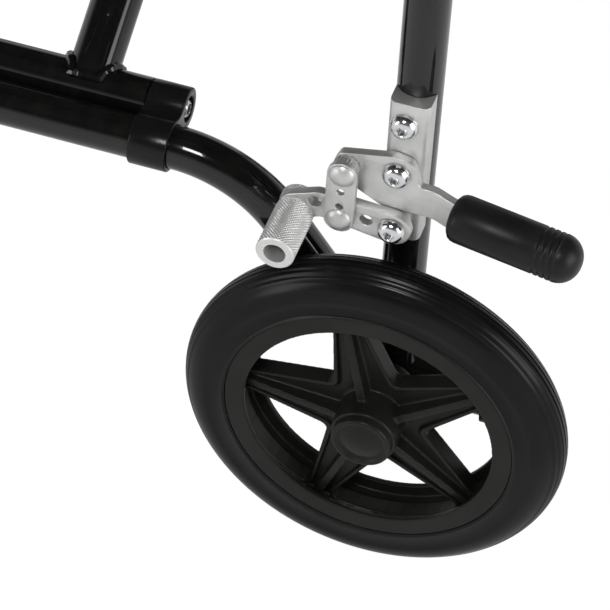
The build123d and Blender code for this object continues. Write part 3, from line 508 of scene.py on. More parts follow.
def plate(outlines, low, high, plane="YZ", edge=0.4, at=(0, 0)):
    """A flat plate with rounded edges. The first outline is its edge, the others are holes."""
    curve = bpy.data.curves.new("plate", "CURVE")
    curve.dimensions = "2D"
    curve.fill_mode = "BOTH"
    curve.extrude = (high - low) / 2 - edge
    curve.bevel_depth = edge
    curve.bevel_resolution = 2
    curve.offset = -edge
    for outline in outlines:
        spline = curve.splines.new("POLY")
        spline.points.add(len(outline) - 1)
        for point, where in zip(spline.points, outline):
            point.co = (where[0], where[1], 0, 1)
        spline.use_cyclic_u = True
    shape = bpy.data.objects.new("plate", curve)
    bpy.context.scene.collection.objects.link(shape)
    bpy.context.view_layer.update()
    mesh = bpy.data.meshes.new_from_object(shape)
    bm = bmesh.new()
    bm.from_mesh(mesh)
    bpy.data.objects.remove(shape)
    bpy.data.curves.remove(curve)
    bpy.data.meshes.remove(mesh)
    middle = (low + high) / 2
    u0, v0 = at
    for vert in bm.verts:
        u, v, w = vert.co
        if plane == "YZ":
            vert.co = (middle + w, u + u0, v + v0)
        elif plane == "XZ":
            vert.co = (u + u0, middle + w, v + v0)
        else:
            vert.co = (u + u0, v + v0, middle + w)
    bmesh.ops.remove_doubles(bm, verts=bm.verts, dist=0.001)
    bmesh.ops.recalc_face_normals(bm, faces=bm.faces)
    return bm


def fused(bm, voxel, smooth):
    """One moulded skin over overlapping solids: voxel remesh, then rounds of smoothing."""
    mesh = bpy.data.meshes.new("fuse")
    bm.to_mesh(mesh)
    bm.free()
    shape = bpy.data.objects.new("fuse", mesh)
    bpy.context.scene.collection.objects.link(shape)
    remesh = shape.modifiers.new("remesh", "REMESH")
    remesh.mode = "VOXEL"
    remesh.voxel_size = voxel
    if smooth:
        soften = shape.modifiers.new("soften", "SMOOTH")
        soften.iterations = smooth
        soften.factor = 0.5
    bpy.context.view_layer.update()
    graph = bpy.context.evaluated_depsgraph_get()
    out_mesh = bpy.data.meshes.new_from_object(shape.evaluated_get(graph))
    out = bmesh.new()
    out.from_mesh(out_mesh)
    bpy.data.objects.remove(shape)
    bpy.data.meshes.remove(mesh)
    bpy.data.meshes.remove(out_mesh)
    return out


def bead(bm, centre, branch, other, branch_r, main_r, size=1.6):
    """A rippled weld bead where a branch tube meets a main tube. branch points away from the main tube."""
    centre = Vector(centre)
    branch = Vector(branch).normalized()
    other = Vector(other).normalized()
    third = branch.cross(other)
    steps, ripples, ripple, lift = 56, 17, 0.18, 0.4
    path = []
    radii = []
    for k in range(steps):
        t = 2 * pi * k / steps
        off = branch_r * sin(t)
        reach = sqrt(max(main_r**2 - off**2, 0.0))
        path.append(centre + branch * (reach + lift) + other * off + third * branch_r * cos(t))
        radii.append(size * (1 + ripple * sin(t * ripples)))
    sweep_ring(bm, path, radii, 8, closed=True)


# Camera at the photograph's angle
def add_camera():
    """A camera at the angle, place and lens that were solved from the photograph."""
    azimuth, elevation, roll = radians(106.03), radians(45.66), 0.05869
    back = Vector((sin(azimuth) * cos(elevation), -cos(azimuth) * cos(elevation), sin(elevation)))
    right = Vector((cos(azimuth), sin(azimuth), 0))
    up = back.cross(right)
    turned_right = right * cos(roll) + up * sin(roll)
    turned_up = up * cos(roll) - right * sin(roll)
    camera = bpy.data.cameras.new("camera")
    camera.lens = 183.5
    camera.sensor_width = 36
    camera.clip_start = 0.05
    holder = bpy.data.objects.new("camera", camera)
    matrix = Matrix((turned_right, turned_up, back)).transposed().to_4x4()
    matrix.translation = (1.27625, 0.49499, 1.25350)
    holder.matrix_world = matrix
    bpy.context.scene.collection.objects.link(holder)
    bpy.context.scene.camera = holder


add_camera()


# Light, world and floor
def add_area(name, place, target, size, power, size_y=None):
    """A square lamp, or an oblong one with size_y, that faces its target."""
    data = bpy.data.lights.new(name, "AREA")
    data.energy = power
    data.size = size
    if size_y:
        data.shape = "RECTANGLE"
        data.size_y = size_y
    lamp = bpy.data.objects.new(name, data)
    direction = Vector(target) - Vector(place)
    lamp.matrix_world = Matrix.Translation(place) @ direction.to_track_quat("-Z", "Y").to_matrix().to_4x4()
    bpy.context.scene.collection.objects.link(lamp)


add_area("key", (2.1, 0.1, 2.6), (0.2, 0.2, 0.2), 0.6, 34)
add_area("rear_panel", (1.0, 3.2, 1.2), (0.2, 0.2, 0.3), 2.4, 60, 2.0)
add_area("front_panel", (2.6, -2.4, 1.3), (0.1, 0.0, 0.4), 1.0, 26, 2.2)
add_area("far", (-2.2, -0.6, 2.2), (0.0, 0.0, 0.4), 1.4, 16)

world = bpy.data.worlds.new("studio")
bpy.context.scene.world = world
world.use_nodes = True
tree = world.node_tree
path = tree.nodes.new("ShaderNodeLightPath")
direction = tree.nodes.new("ShaderNodeTexCoord")
split = tree.nodes.new("ShaderNodeSeparateXYZ")
tree.links.new(direction.outputs["Generated"], split.inputs["Vector"])
ceiling = tree.nodes.new("ShaderNodeMapRange")
ceiling.inputs["From Min"].default_value = 0.02
ceiling.inputs["From Max"].default_value = 0.4
ceiling.inputs["To Min"].default_value = 1.0
ceiling.inputs["To Max"].default_value = 0.04
tree.links.new(split.outputs["Z"], ceiling.inputs["Value"])
mirrored = math_of(tree, "MULTIPLY", path.outputs["Is Glossy Ray"], ceiling.outputs["Result"])
ambient = math_of(tree, "MULTIPLY", math_of(tree, "SUBTRACT", 1.0, path.outputs["Is Glossy Ray"]), 0.45)
seen = math_of(tree, "MAXIMUM", path.outputs["Is Camera Ray"], path.outputs["Is Transmission Ray"])
strength = math_of(tree, "MAXIMUM", seen, math_of(tree, "ADD", mirrored, ambient))
background = tree.nodes["Background"]
background.inputs["Color"].default_value = (1, 1, 1, 1)
tree.links.new(strength, background.inputs["Strength"])

floor_mesh = bpy.data.meshes.new("floor")
floor_half, floor_z = 6.0, -0.0005
floor_corners = [(sx * floor_half, sy * floor_half, floor_z) for sx, sy in SQUARE]
floor_mesh.from_pydata(floor_corners, [], [(0, 1, 2, 3)])
floor = bpy.data.objects.new("floor", floor_mesh)
bpy.context.scene.collection.objects.link(floor)
floor_mat, floor_tree, floor_shader = new_material("floor_paper", (0.86, 0.86, 0.86), 0.9)
floor_path = floor_tree.nodes.new("ShaderNodeLightPath")
glow = floor_tree.nodes.new("ShaderNodeEmission")
mixed = floor_tree.nodes.new("ShaderNodeMixShader")
glow.inputs["Strength"].default_value = 1.05
share = math_of(floor_tree, "MULTIPLY", floor_path.outputs["Is Camera Ray"], 0.93)
floor_tree.links.new(share, mixed.inputs["Fac"])
floor_tree.links.new(floor_shader.outputs["BSDF"], mixed.inputs[1])
floor_tree.links.new(glow.outputs["Emission"], mixed.inputs[2])
floor_tree.links.new(mixed.outputs["Shader"], floor_tree.nodes["Material Output"].inputs["Surface"])
paper = noise_of(floor_tree, coords(floor_tree), 300, 3)
bump_of(floor_tree, floor_shader, paper, 0.0001, 0.3)
floor_mesh.materials.append(floor_mat)
bpy.context.scene.view_settings.view_transform = "Standard"


# Frame tubes
rail_points = [
    (frame_x, upright_y, rail_z),
    (frame_x, axle_y - rail_bend_reach, rail_z),
    (frame_x, axle_y - rail_bend_reach + (rail_z - axle_z + lever_drop) / tan(radians(rail_slope)),
     axle_z - lever_drop),
    (frame_x, axle_y + lever_reach, axle_z - lever_drop),
]
rail = tube(rail_points, [rail_bend, lever_bend], tube_r, 64, 20)
place_pair("lower_tube", rail, "frame_paint", "frame", "lower_rail")

post_points = [
    (frame_x, axle_y, axle_z + 2),
    (frame_x, axle_y, back_bend_z),
    (frame_x, axle_y + rise_at_handle, handle_z),
    (frame_x, axle_y + rise_at_handle + handle_reach - grip_end, handle_z),
]
post = tube(post_points, [back_bend, handle_bend], tube_r, 64, 16)
place_pair("post_tube", post, "frame_paint", "frame", "rear_post")

guide = tube([(frame_x, upright_y, guide_z), (frame_x, axle_y, guide_z)], [], tube_r, 64)
place_pair("guide_tube", guide, "frame_paint", "frame", "guide_rail")

beads = bmesh.new()
bead(beads, (frame_x, axle_y, guide_z), (0, -1, 0), (1, 0, 0), tube_r, tube_r)
bead(beads, (frame_x, upright_y, guide_z), (0, 1, 0), (1, 0, 0), tube_r, tube_r)
bead(beads, (frame_x, upright_y, rail_z), (0, 1, 0), (1, 0, 0), tube_r, 17.0)
place_pair("weld_beads", beads, "frame_paint", "frame")


# Rear wheel
def tyre_profile(outer_r, width, seat_r, seat_w, grooves, groove_w, depth):
    """The section of a tyre with a round crown and fine grooves round its tread."""
    crown_r, crown_steps, lean = width / 2, 26, 0.15
    centre = outer_r - crown_r
    angles = [-pi / 2 + pi * k / crown_steps for k in range(crown_steps + 1)]
    marks = [(crown_r * sin(a), centre + crown_r * cos(a)) for a in angles]
    for groove in grooves:
        marks = [m for m in marks if abs(m[0] - groove) > groove_w / 2 + 2 * lean]
        for hand in (-1, 1):
            for off, sink in ((groove_w / 2 + lean, 0), (groove_w / 2 - lean, depth)):
                side = groove + hand * off
                marks.append((side, centre + sqrt(crown_r**2 - side**2) - sink))
    marks.sort()
    bead_side = [(seat_r, seat_w / 2), (seat_r + 1.2, seat_w / 2 + 0.5), (seat_r + 2.0, seat_w / 2 - 0.3)]
    points = [(r, -s) for r, s in bead_side]
    points += [(r, s) for s, r in marks]
    return points + bead_side[::-1]


tyre = bmesh.new()
tyre_w, rim_w = 30.0, 27.2
tread = (-10.4, -7.6, -4.6, -1.55, 1.55, 4.6, 7.6, 10.4)
wheel_place = (wheel_x, axle_y, axle_z)
lathe(tyre, tyre_profile(wheel_r, tyre_w, 75.5, rim_w, tread, 1.0, 0.8), wheel_place, (1, 0, 0), 160)
place_pair("tyre_moulded", tyre, "tyre", "wheel", "rear_tyre", 60)


def star_rim(place, seat_r, seat_w, inner_r, wall, hub_r, hub_half, window_in, first):
    """A moulded rim with five ribbed spokes, fused to one skin. Its windows start window_in from the axis."""
    x, y, z = place
    count, spoke_w, web, lip, rib_w, flange, grow = 5, 12.0, 5.0, 3.0, 4.5, 10.0, 2.0
    rib_heights = (12.0, 6.0)
    well, half = seat_r - wall, seat_w / 2
    window_half = radians(180 / count) - spoke_w / 2 / well
    out_r = well - 1.4

    def window(mid, reach, turn, inner, corner_r):
        """A window's outline: an arc along the rim and one corner at the hub."""
        steps = 10
        angles = [mid - turn + 2 * turn * s / steps for s in range(steps + 1)]
        rounds = [corner_r, *[0] * (steps - 1), corner_r]
        corners = [(reach * cos(a), reach * sin(a), r) for a, r in zip(angles, rounds)]
        return rounded([*corners, (inner * cos(mid), inner * sin(mid), corner_r)], 5)

    bm = bmesh.new()
    lathe(bm, [(inner_r, half), (seat_r, half), (seat_r, -half), (inner_r, -half), (inner_r, lip - half),
               (well, lip - half), (well, half - lip), (inner_r, half - lip)], place, (1, 0, 0), 144)
    mids = [radians(first + (k + 0.5) * 360 / count) for k in range(count)]
    windows = [window(mid, out_r, window_half, window_in, 4.0) for mid in mids]
    disc = circle(0, 0, well + wall / 2, 96)
    join(bm, plate([disc, *windows], x - web / 2, x + web / 2, at=(y, z), edge=0.3))
    for mid, hole in zip(mids, windows):
        edge = window(mid, out_r + grow, window_half + grow / out_r, window_in - grow / sin(window_half), 5.5)
        join(bm, plate([edge, hole], x - flange / 2, x + flange / 2, at=(y, z), edge=0.3))
    for k in range(count):
        a = radians(first + k * 360 / count)
        along, across = Vector((0, cos(a), sin(a))), Vector((0, -sin(a), cos(a)))
        ends = []
        for radius, height in zip((hub_r / 2, well + wall / 2), rib_heights):
            point = Vector(place) + along * radius
            ends.append([bm.verts.new(point + Vector((sx * height, 0, 0)) + across * sy * rib_w / 2)
                         for sx, sy in SQUARE])
        capped_skin(bm, ends)
    lathe(bm, [(0, -hub_half), (hub_r - 0.8, -hub_half), (hub_r, 0.8 - hub_half), (hub_r, hub_half - 0.8),
               (hub_r - 0.8, hub_half), (0, hub_half)], place, (1, 0, 0), 64)
    bmesh.ops.recalc_face_normals(bm, faces=bm.faces)
    return fused(bm, 0.62, 3)


rim = star_rim(wheel_place, 75.3, rim_w, 65.0, 3.4, 17.0, 20.0, 27.0, 33.0)
place_pair("star_rim", rim, "rim_plastic", "wheel", "rear_rim", 0)

cap = bmesh.new()
cap_profile = [(0, 1.5), (11.6, 1.5), (12.6, -1.5), (14.0, -1.5), (14.0, 0), (15.6, 0.0), (15.6, 3.0),
               (15.3, 3.7), (14.7, 4.2), (14.0, 4.3), (13.3, 4.25), (12.7, 3.9), (12.3, 3.1), (11.6, 2.9),
               (10.0, 3.5), (8.0, 4.3), (6.0, 4.85), (4.0, 5.2), (2.0, 5.4), (0, 5.45)]
lathe(cap, cap_profile, (wheel_x + 20, axle_y, axle_z), (1, 0, 0), 72)
place_pair("hub_dome", cap, "rim_plastic", "wheel", "hub_cap", 50)


# Brake
clamp_face, clamp_depth = 18.2, 12.5
lever_thick, arm_thick, link_thick, plate_gap = 4.8, 5.1, 3.0, 0.2
lever_in = clamp_face + plate_gap
arm_in = lever_in + lever_thick + plate_gap
link_in = arm_in + arm_thick + plate_gap
lever_pin, link_top, link_low = (-2.0, 151.1), (-26.4, 149.3), (-26.8, 120.6)
arm_pin, clamp_bolt, roller = (-1.0, 120.0), (-1.5, 178.0), (-49.5, 115.0)
axle = (axle_y, axle_z)


def beside_axle(x, pin):
    """The place x from the middle, at a (y, z) pin of the brake."""
    return Vector((x, axle_y + pin[0], axle_z + pin[1]))


bracket_low, bracket_high = 106.0, 191.0
x_in, x_out, half_w = frame_x + clamp_face - clamp_depth, frame_x + clamp_face, 10.0
cope = tube_r + 0.05
mouth = sqrt(cope**2 - (clamp_face - clamp_depth)**2)
bite = [Vector((frame_x + cope * cos(a), cope * sin(a)))
        for a in [atan2(mouth, clamp_face - clamp_depth) * (1 - 2 * k / 16) for k in range(17)]]
corners = rounded([(x_in, -half_w, 0), (x_out, -half_w, 4.0), (x_out, half_w, 4.0), (x_in, half_w, 0)], 6)
bracket = plate([[*corners, *bite]], axle_z + bracket_low, axle_z + bracket_high, plane="XY", edge=0.25,
                at=(0, axle_y))
boss = [(0, -1), (7.0, -1), (7.0, 4.9), (6.7, 5.2), (0, 5.2)]
lathe(bracket, boss, beside_axle(x_out, arm_pin), (1, 0, 0), 40)
place_pair("clamp_bracket", bracket, "cast_aluminium", "frame", "brake_bracket")

strip_low, strip_high, bend_y, jog_y, jog_out = 128.3, 146.0, 17.0, 29.0, 5.2
strip_end_y, strip_end_out = 66.0, 11.6
lever_outline = rounded([
    (link_top[0] - 7.5, link_top[1] - 1.0, 3.2), (link_top[0] - 4.0, link_top[1] + 6.5, 3.2),
    (lever_pin[0] - 2.0, lever_pin[1] + 10.5, 8.0), (lever_pin[0] + 8.5, lever_pin[1] + 8.5, 6.0),
    (lever_pin[0] + 11.5, strip_high, 3.2), (strip_end_y + 6, strip_high, 1), (strip_end_y + 6, strip_low, 1),
    (-8.5, strip_low + 0.5, 6.0), (-20.0, 135.0, 8.0)], 8)
lever = plate([lever_outline, circle(*lever_pin, 4.1), circle(*link_top, 3.1)],
              frame_x + lever_in, frame_x + lever_in + lever_thick, edge=0.55, at=axle)
cut_count, cut_step = 24, 0.75
for k in range(cut_count):
    place = (0, axle_y + bend_y - 3 + k * cut_step, 0)
    bmesh.ops.bisect_plane(lever, geom=lever.verts[:] + lever.edges[:] + lever.faces[:], plane_co=place,
                           plane_no=(0, 1, 0))


def jog(y):
    """How far the lever's strip stands outboard of its head, y mm forward of the axle."""
    first, second = jog_out / (jog_y - bend_y), (strip_end_out - jog_out) / (strip_end_y - jog_y)
    soft = 2.5

    def hinge(t):
        return 0 if t < -soft else t if t > soft else (t + soft)**2 / (4 * soft)
    return first * hinge(y - bend_y) + (second - first) * hinge(y - jog_y)


for vert in lever.verts:
    vert.co.x += jog(vert.co.y - axle_y)
place_pair("lever_plate", lever, "cast_aluminium", "brake_lever_body", "brake_lever", 30)

knob_turn = atan2(strip_end_out - jog_out, strip_end_y - jog_y)
knob_dir = (sin(knob_turn), cos(knob_turn), 0)
knob_start = 28.0
knob_place = (frame_x + lever_in + jog_out + lever_thick / 2, axle_y + knob_start,
              axle_z + (strip_low + strip_high) / 2)
knob_r, knob_l, nose_r, rib_step, rib_first = 12.0, 66.0, 10.8, 3.1, 45.5
profile = [(0, 0.05), (7.5, 0.05), (9.3, 0.35), (10.9, 1.5), (11.7, 3.0), (knob_r, 5.0)]
for k in range(4):
    mid = rib_first + rib_step * k
    for off, sink in ((-0.95, 0), (-0.7, 0.25), (0, 0.55), (0.7, 0.25), (0.95, 0)):
        profile.append((knob_r - sink, mid + off))
for k in range(13):
    a = pi / 2 * k / 12
    profile.append((knob_r - nose_r + nose_r * cos(a), knob_l - nose_r + nose_r * sin(a)))
profile.append((0, knob_l))
knob = bmesh.new()
lathe(knob, profile, knob_place, knob_dir, 64)
place_pair("knob_rubber", knob, "black_rubber", "brake_lever_body", "brake_knob", 0)

link_r, hole_r = 7.5, 2.0
holes = []
for share in (0.37, 0.7):
    y, z = Vector(link_top).lerp(Vector(link_low), share)
    holes.append(circle(y, z, hole_r, 20))
link = plate([chain([(*link_top, link_r), (*link_low, link_r)]), *holes],
             frame_x + link_in, frame_x + link_in + link_thick, edge=0.4, at=axle)
dome = [(0, 3.2), (1.5, 3.1), (3.0, 2.75), (4.4, 2.1), (5.5, 1.3), (6.3, 0.5), (6.6, 0.05), (6.6, -0.2),
        (0, -0.2)]
rivet_r, tail_r = 3.0, 5.28
for pin, inner in ((link_top, lever_in - plate_gap), (link_low, arm_in - plate_gap)):
    lathe(link, dome, beside_axle(frame_x + link_in + link_thick, pin), (1, 0, 0), 40)
    tail = beside_axle(frame_x + inner, pin)
    rivet_l = link_in - inner
    lathe(link, [(0, 0), (rivet_r, 0), (rivet_r, rivet_l), (0, rivet_l)], tail, (1, 0, 0), 24)
    lathe(link, [(0, -1.5), (4.9, -1.5), (tail_r, -1.1), (tail_r, 0), (0, 0)], tail, (1, 0, 0), 32)
teeth = []
tooth_count, tooth_r, tooth_high = 24, 6.6, 0.35
for k in range(4 * tooth_count):
    t = 2 * pi * k / (4 * tooth_count)
    r = tooth_r - tooth_high if k % 4 in (0, 1) else tooth_r
    teeth.append(Vector((r * cos(t), r * sin(t))))
join(link, plate([teeth], frame_x + arm_in, frame_x + link_in, edge=0.1,
                 at=(axle_y + link_top[0], axle_z + link_top[1])))
place_pair("link_plate", link, "cast_aluminium", "brake_link_body", "brake_link")

arm_outline = chain([(*arm_pin, 9.3), (-37.5, 124.2, 7.4), (roller[0], roller[1] + 4, 7.7)])
arm_holes = [circle(*hole, 28)
             for hole in ((-39.8, 125.1, 3.2), (-13.8, 121.8, 3.2), (*link_low, 3.3), (*arm_pin, 4.1))]
arm = plate([arm_outline, *arm_holes], frame_x + arm_in, frame_x + arm_in + arm_thick, edge=0.55, at=axle)
place_pair("arm_plate", arm, "cast_aluminium", "brake_arm_body", "brake_arm", 30)


def knurled_roller():
    """The roller: diamond knurl outboard and inboard of the turned band that the arm is welded to."""
    bm = bmesh.new()
    radius, bore, low, high = 9.7, 5.6, wheel_x - 17.5, wheel_x + 23.0
    band = (wheel_x - 12.6, wheel_x - 6.6)
    diamonds, knurl, flank, segments, step = 34, 0.6, 4.4, 272, 0.3

    def ridge(share):
        """0 in a groove and 1 on a diamond, for a place between two grooves."""
        share %= 1.0
        return min(1.0, flank * min(share, 1 - share))

    def knurled(x):
        along = (x - low) * diamonds / (2 * pi * radius)

        def height(t):
            turn = t * diamonds / (2 * pi)
            return radius - knurl + knurl * ridge(turn + along) * ridge(turn - along)
        return height

    section = [(low, bore), (low, radius - 0.7), (low + 0.5, radius - 0.15)]
    for k in range(int((high - low - 1.2) / step) + 1):
        x = low + 0.6 + k * step
        section.append((x, radius - 0.35 if band[0] < x < band[1] else knurled(x)))
    section += [(high - 0.5, radius - 0.15), (high, radius - 0.7), (high, bore)]
    up, back = Vector((0, 0, 1)), Vector((0, 1, 0))
    rings = [ring_of(bm, beside_axle(x, roller), back, up, r, segments) for x, r in section]
    skin(bm, rings + rings[:1])
    return bm


place_pair("roller_knurled", knurled_roller(), "knurl", "brake_arm_body", "brake_roller", 40)


def hexed(radius):
    """A hexagon's radius as a function of the angle. radius is its inscribed circle."""
    return lambda t: radius / cos(t % (pi / 3) - pi / 6)


def turned(bm, steps, place, axis):
    """A closed solid from (radius, along) steps, where a radius may be a function of the angle."""
    axis, side, other = axes_of(axis)
    place = Vector(place)
    capped_skin(bm, [ring_of(bm, place + axis * along, side, other, radius, 48) for radius, along in steps])


def socket_head(bm, place, axis, radius, height, socket, depth=2.2):
    """A button head with a hexagon socket. The head's seat is at place."""
    steps = [(radius * 0.98, 0), (radius, 0.25)]
    for share, up in ((0.97, 0.3), (0.9, 0.55), (0.8, 0.76), (0.66, 0.92), (0.52, 1.0)):
        steps.append((radius * share, height * up))
    steps += [(socket * 1.12, height), (hexed(socket), height - 0.25), (hexed(socket), height - depth)]
    turned(bm, steps, place, axis)


def hex_nut(bm, place, axis, radius, height):
    """A hexagon nut with its corners eased at both faces."""
    flat = radius * 0.87
    turned(bm, [(radius * 0.84, 0), (hexed(flat), height * 0.12), (hexed(flat), height * 0.88),
                (radius * 0.84, height)], place, axis)


bolts = bmesh.new()
bolt_r, button_r, pivot_bolt_l = 4.0, 7.0, 40.0
tail_x, nut_x = frame_x - tube_r - 7.5, frame_x - tube_r - 6.1
for pin, face in ((clamp_bolt, clamp_face), (lever_pin, clamp_face + lever_thick + 2 * plate_gap),
                  (arm_pin, clamp_face + lever_thick + arm_thick + 3 * plate_gap)):
    head = frame_x + face
    socket_head(bolts, beside_axle(head + 0.1, pin), (1, 0, 0), button_r, 4.6, 2.5)
    sweep_ring(bolts, [beside_axle(tail_x, pin), beside_axle(head + 0.2, pin)], bolt_r, 32)
    hex_nut(bolts, beside_axle(nut_x, pin), (1, 0, 0), 7.2, 6.0)
bracket_near = 2 * (brace_reach + brace_offset / 2) - bracket_far
rear_face, front_face = axle_y - bracket_far, axle_y - bracket_near
for face, out in ((rear_face, 1), (front_face, -1)):
    shank = [(0, 0), (bolt_r, 0), (bolt_r, pivot_bolt_l), (0, pivot_bolt_l)]
    lathe(bolts, shank, (pivot_x, face - out * 1.5, pivot_z), (0, -out, 0), 32)
    socket_head(bolts, (pivot_x, face - out * 8.0, pivot_z), (0, out, 0), 6.5, 8.0, 2.9, 3.0)
place_pair("socket_bolts", bolts, "bright_steel", "frame", "bolts", 30)


# Brace pivot brackets with waisted ends
def waisted(big, small, waist):
    """The outline round two circles, drawn in between them."""
    (u0, v0, r0), (u1, v1, r1) = big, small
    first, second = Vector((u0, v0)), Vector((u1, v1))
    gap = (second - first).length
    along = (second - first).normalized()
    side = Vector((-along.y, along.x))
    a, b = r0 + waist, r1 + waist
    t = (a * a - b * b + gap * gap) / (2 * gap)
    h = sqrt(max(a * a - t * t, 0.01))

    def arc(hub, start, turn, steps):
        """Points on an arc round a hub, both ends included."""
        return [hub + Matrix.Rotation(-turn * k / steps, 2) @ start for k in range(steps + 1)]

    def outer(hub, start, end, steps):
        """The points between the ends of an outer arc, which turns anticlockwise."""
        return arc(hub, start - hub, (start - hub).angle_signed(end - hub) % (2 * pi), steps)[1:-1]

    drawn_in = []
    for hand in (1, -1):
        hub = first + along * t + side * h * hand
        start, end = ((point - hub).normalized() * waist for point in (first, second))
        drawn_in.append(arc(hub, start, start.angle_signed(end), 10))
    upper, lower = drawn_in
    return (upper + outer(second, upper[-1], lower[-1], 20) + lower[::-1]
            + outer(first, lower[0], upper[0], 28))


brackets = bmesh.new()
shape = waisted((frame_x, rail_z, tube_r + 2.2), (pivot_x, pivot_z, tube_r), 9.0)
for face in (rear_face - bracket_w, front_face):
    bores = [circle(frame_x, rail_z, tube_r + 0.05, 48), circle(pivot_x, pivot_z, 6.6, 32)]
    join(brackets, plate([shape, *bores], face, face + bracket_w, plane="XZ", edge=0.8))
place_pair("pivot_brackets", brackets, "black_plastic", "frame", "brace_brackets")

# Brace weld collars
for side, hand in (("left", 1), ("right", -1)):
    reach = brace_reach if side == "left" else brace_reach + brace_offset
    low = Vector((hand * pivot_x, axle_y - reach, pivot_z))
    high = Vector((-hand * pivot_x, axle_y - reach, seat_rail_z))
    up = (high - low).normalized()
    collars = bmesh.new()
    bead(collars, low, up, up.cross(Vector((0, 1, 0))), brace_r + 0.6, tube_r, 2.4)
    bead(collars, high, -up, up.cross(Vector((0, 1, 0))), brace_r + 0.6, tube_r, 2.2)
    place_piece(f"{side}_brace_welds", finish_mesh(collars, False), "frame_paint", f"{side}_brace")


# Push grips
grip_start = axle_y + rear_reach - grip_l
grip_bore, rib_start, rib_step, nose_r = 11.2, 12.0, 6.2, 4.8
profile = [(0, 1.0), (grip_bore, 1.0), (grip_bore, 0), (17.0, 0), (18.2, 0.8), (18.2, 4.2), (17.2, 5.2),
           (15.2, 6.4)]
for k in range(14):
    mid = rib_start + rib_step * k
    for off, sink in ((-1.9, 1.0), (-1.2, 0.1), (0, 0), (1.2, 0.1), (1.9, 1.0)):
        profile.append((grip_r - sink, mid + off))
profile += [(15.4, 97.0), (grip_r, 99.0), (grip_r, 103.0)]
for k in range(7):
    a = pi / 2 * k / 6
    profile.append((grip_bore + nose_r * cos(a), grip_l - nose_r + nose_r * sin(a)))
profile.append((0, grip_l))
grip = bmesh.new()
lathe(grip, profile, (frame_x, grip_start, handle_z), (0, 1, 0), 64)
place_pair("grip_rubber", grip, "black_rubber", "frame", "push_grip", 50)


# Side panels with a raised rim
pad_l, pad_w = 260.0, 48.0
panel_front, panel_rear = upright_y + tube_r + 0.3, axle_y - tube_r - 14.0
panel_low, panel_high = guide_z + tube_r + 0.3, arm_z - tube_r - 0.3
saddle_w, saddle_top = 36.0, seat_rail_z + 4.6
outline = [(panel_front, panel_low, 0.6), (panel_front, panel_high, 45.0), (panel_rear, panel_high, 45.0),
           (panel_rear, panel_low, 0.6)]
for reach in (66.0, 330.0):
    rear_side, front_side = axle_y - reach + 0.3, axle_y - reach - saddle_w - 0.3
    outline += [(rear_side, panel_low, 0.6), (rear_side, saddle_top, 3.0), (front_side, saddle_top, 3.0),
                (front_side, panel_low, 0.6)]
panel = plate([rounded(outline, 10)], frame_x - 1.5, frame_x + 1.5, edge=0.6)
inset, raised_w, raised_in, raised_out = 14.0, 3.5, 1.2, 2.6
front, rear = panel_front + inset, panel_rear - inset
low, high = saddle_top + inset, panel_high - inset
rims = [slab(front - grow, low - grow, rear + grow, high + grow, 12 + grow, 34 + grow)
        for grow in (0, -raised_w)]
for start, end in ((-raised_out, -raised_in), (raised_in, raised_out)):
    join(panel, plate(rims, frame_x + start, frame_x + end, edge=0.5))
place_pair("guard_panel", panel, "black_plastic", "frame", "side_panel", 40)


# Footplates with ribs on the tread
spindle_y, spindle_z = upright_y - hanger_reach, 140.0
plate_rear = spindle_y - plate_start
plate_front = plate_rear - plate_l
plate_high, plate_half, rib_half, rib_low, rib_high = 145.0, 4.0, 1.6, 26.0, 128.0
outline = slab(plate_front, spindle_z - 4, plate_rear, spindle_z + plate_high, 1, 22, 10)
step = plate([outline], frame_x - plate_half, frame_x + plate_half, edge=1.4)
lathe(step, [(8.15, 0), (11.0, 0), (12.0, 1.0), (12.0, plate_l - 1), (11.0, plate_l), (8.15, plate_l)],
      (frame_x, plate_rear, spindle_z), (0, -1, 0), 48)
for y in [plate_rear - 16 - k * (plate_l - 32) / 7 for k in range(8)]:
    rib = slab(y - rib_half, spindle_z + rib_low, y + rib_half, spindle_z + rib_high, 1.5, 1.5, 3)
    join(step, plate([rib], frame_x - 5.2, frame_x - 3.4, edge=0.5))
place_pair("tread_plate", step, "black_plastic", "footrest", "footplate", 40)


# Casters
caster_r, caster_trail, caster_rim_w = 75.0, 38.0, 26.0
caster_place = (frame_x, upright_y + caster_trail, caster_r)
caster_tyre = bmesh.new()
caster_section = tyre_profile(caster_r, tyre_w, 56.0, caster_rim_w, (-4.5, 0.0, 4.5), 0.9, 0.7)
lathe(caster_tyre, caster_section, caster_place, (1, 0, 0), 128)
place_pair("caster_tyre_moulded", caster_tyre, "tyre", "caster", "caster_tyre", 60)
caster_rim = star_rim(caster_place, 55.8, caster_rim_w, 48.0, 4.0, 13.0, 17.0, 20.0, 90.0)
place_pair("caster_star_rim", caster_rim, "rim_plastic", "caster", "caster_rim", 0)


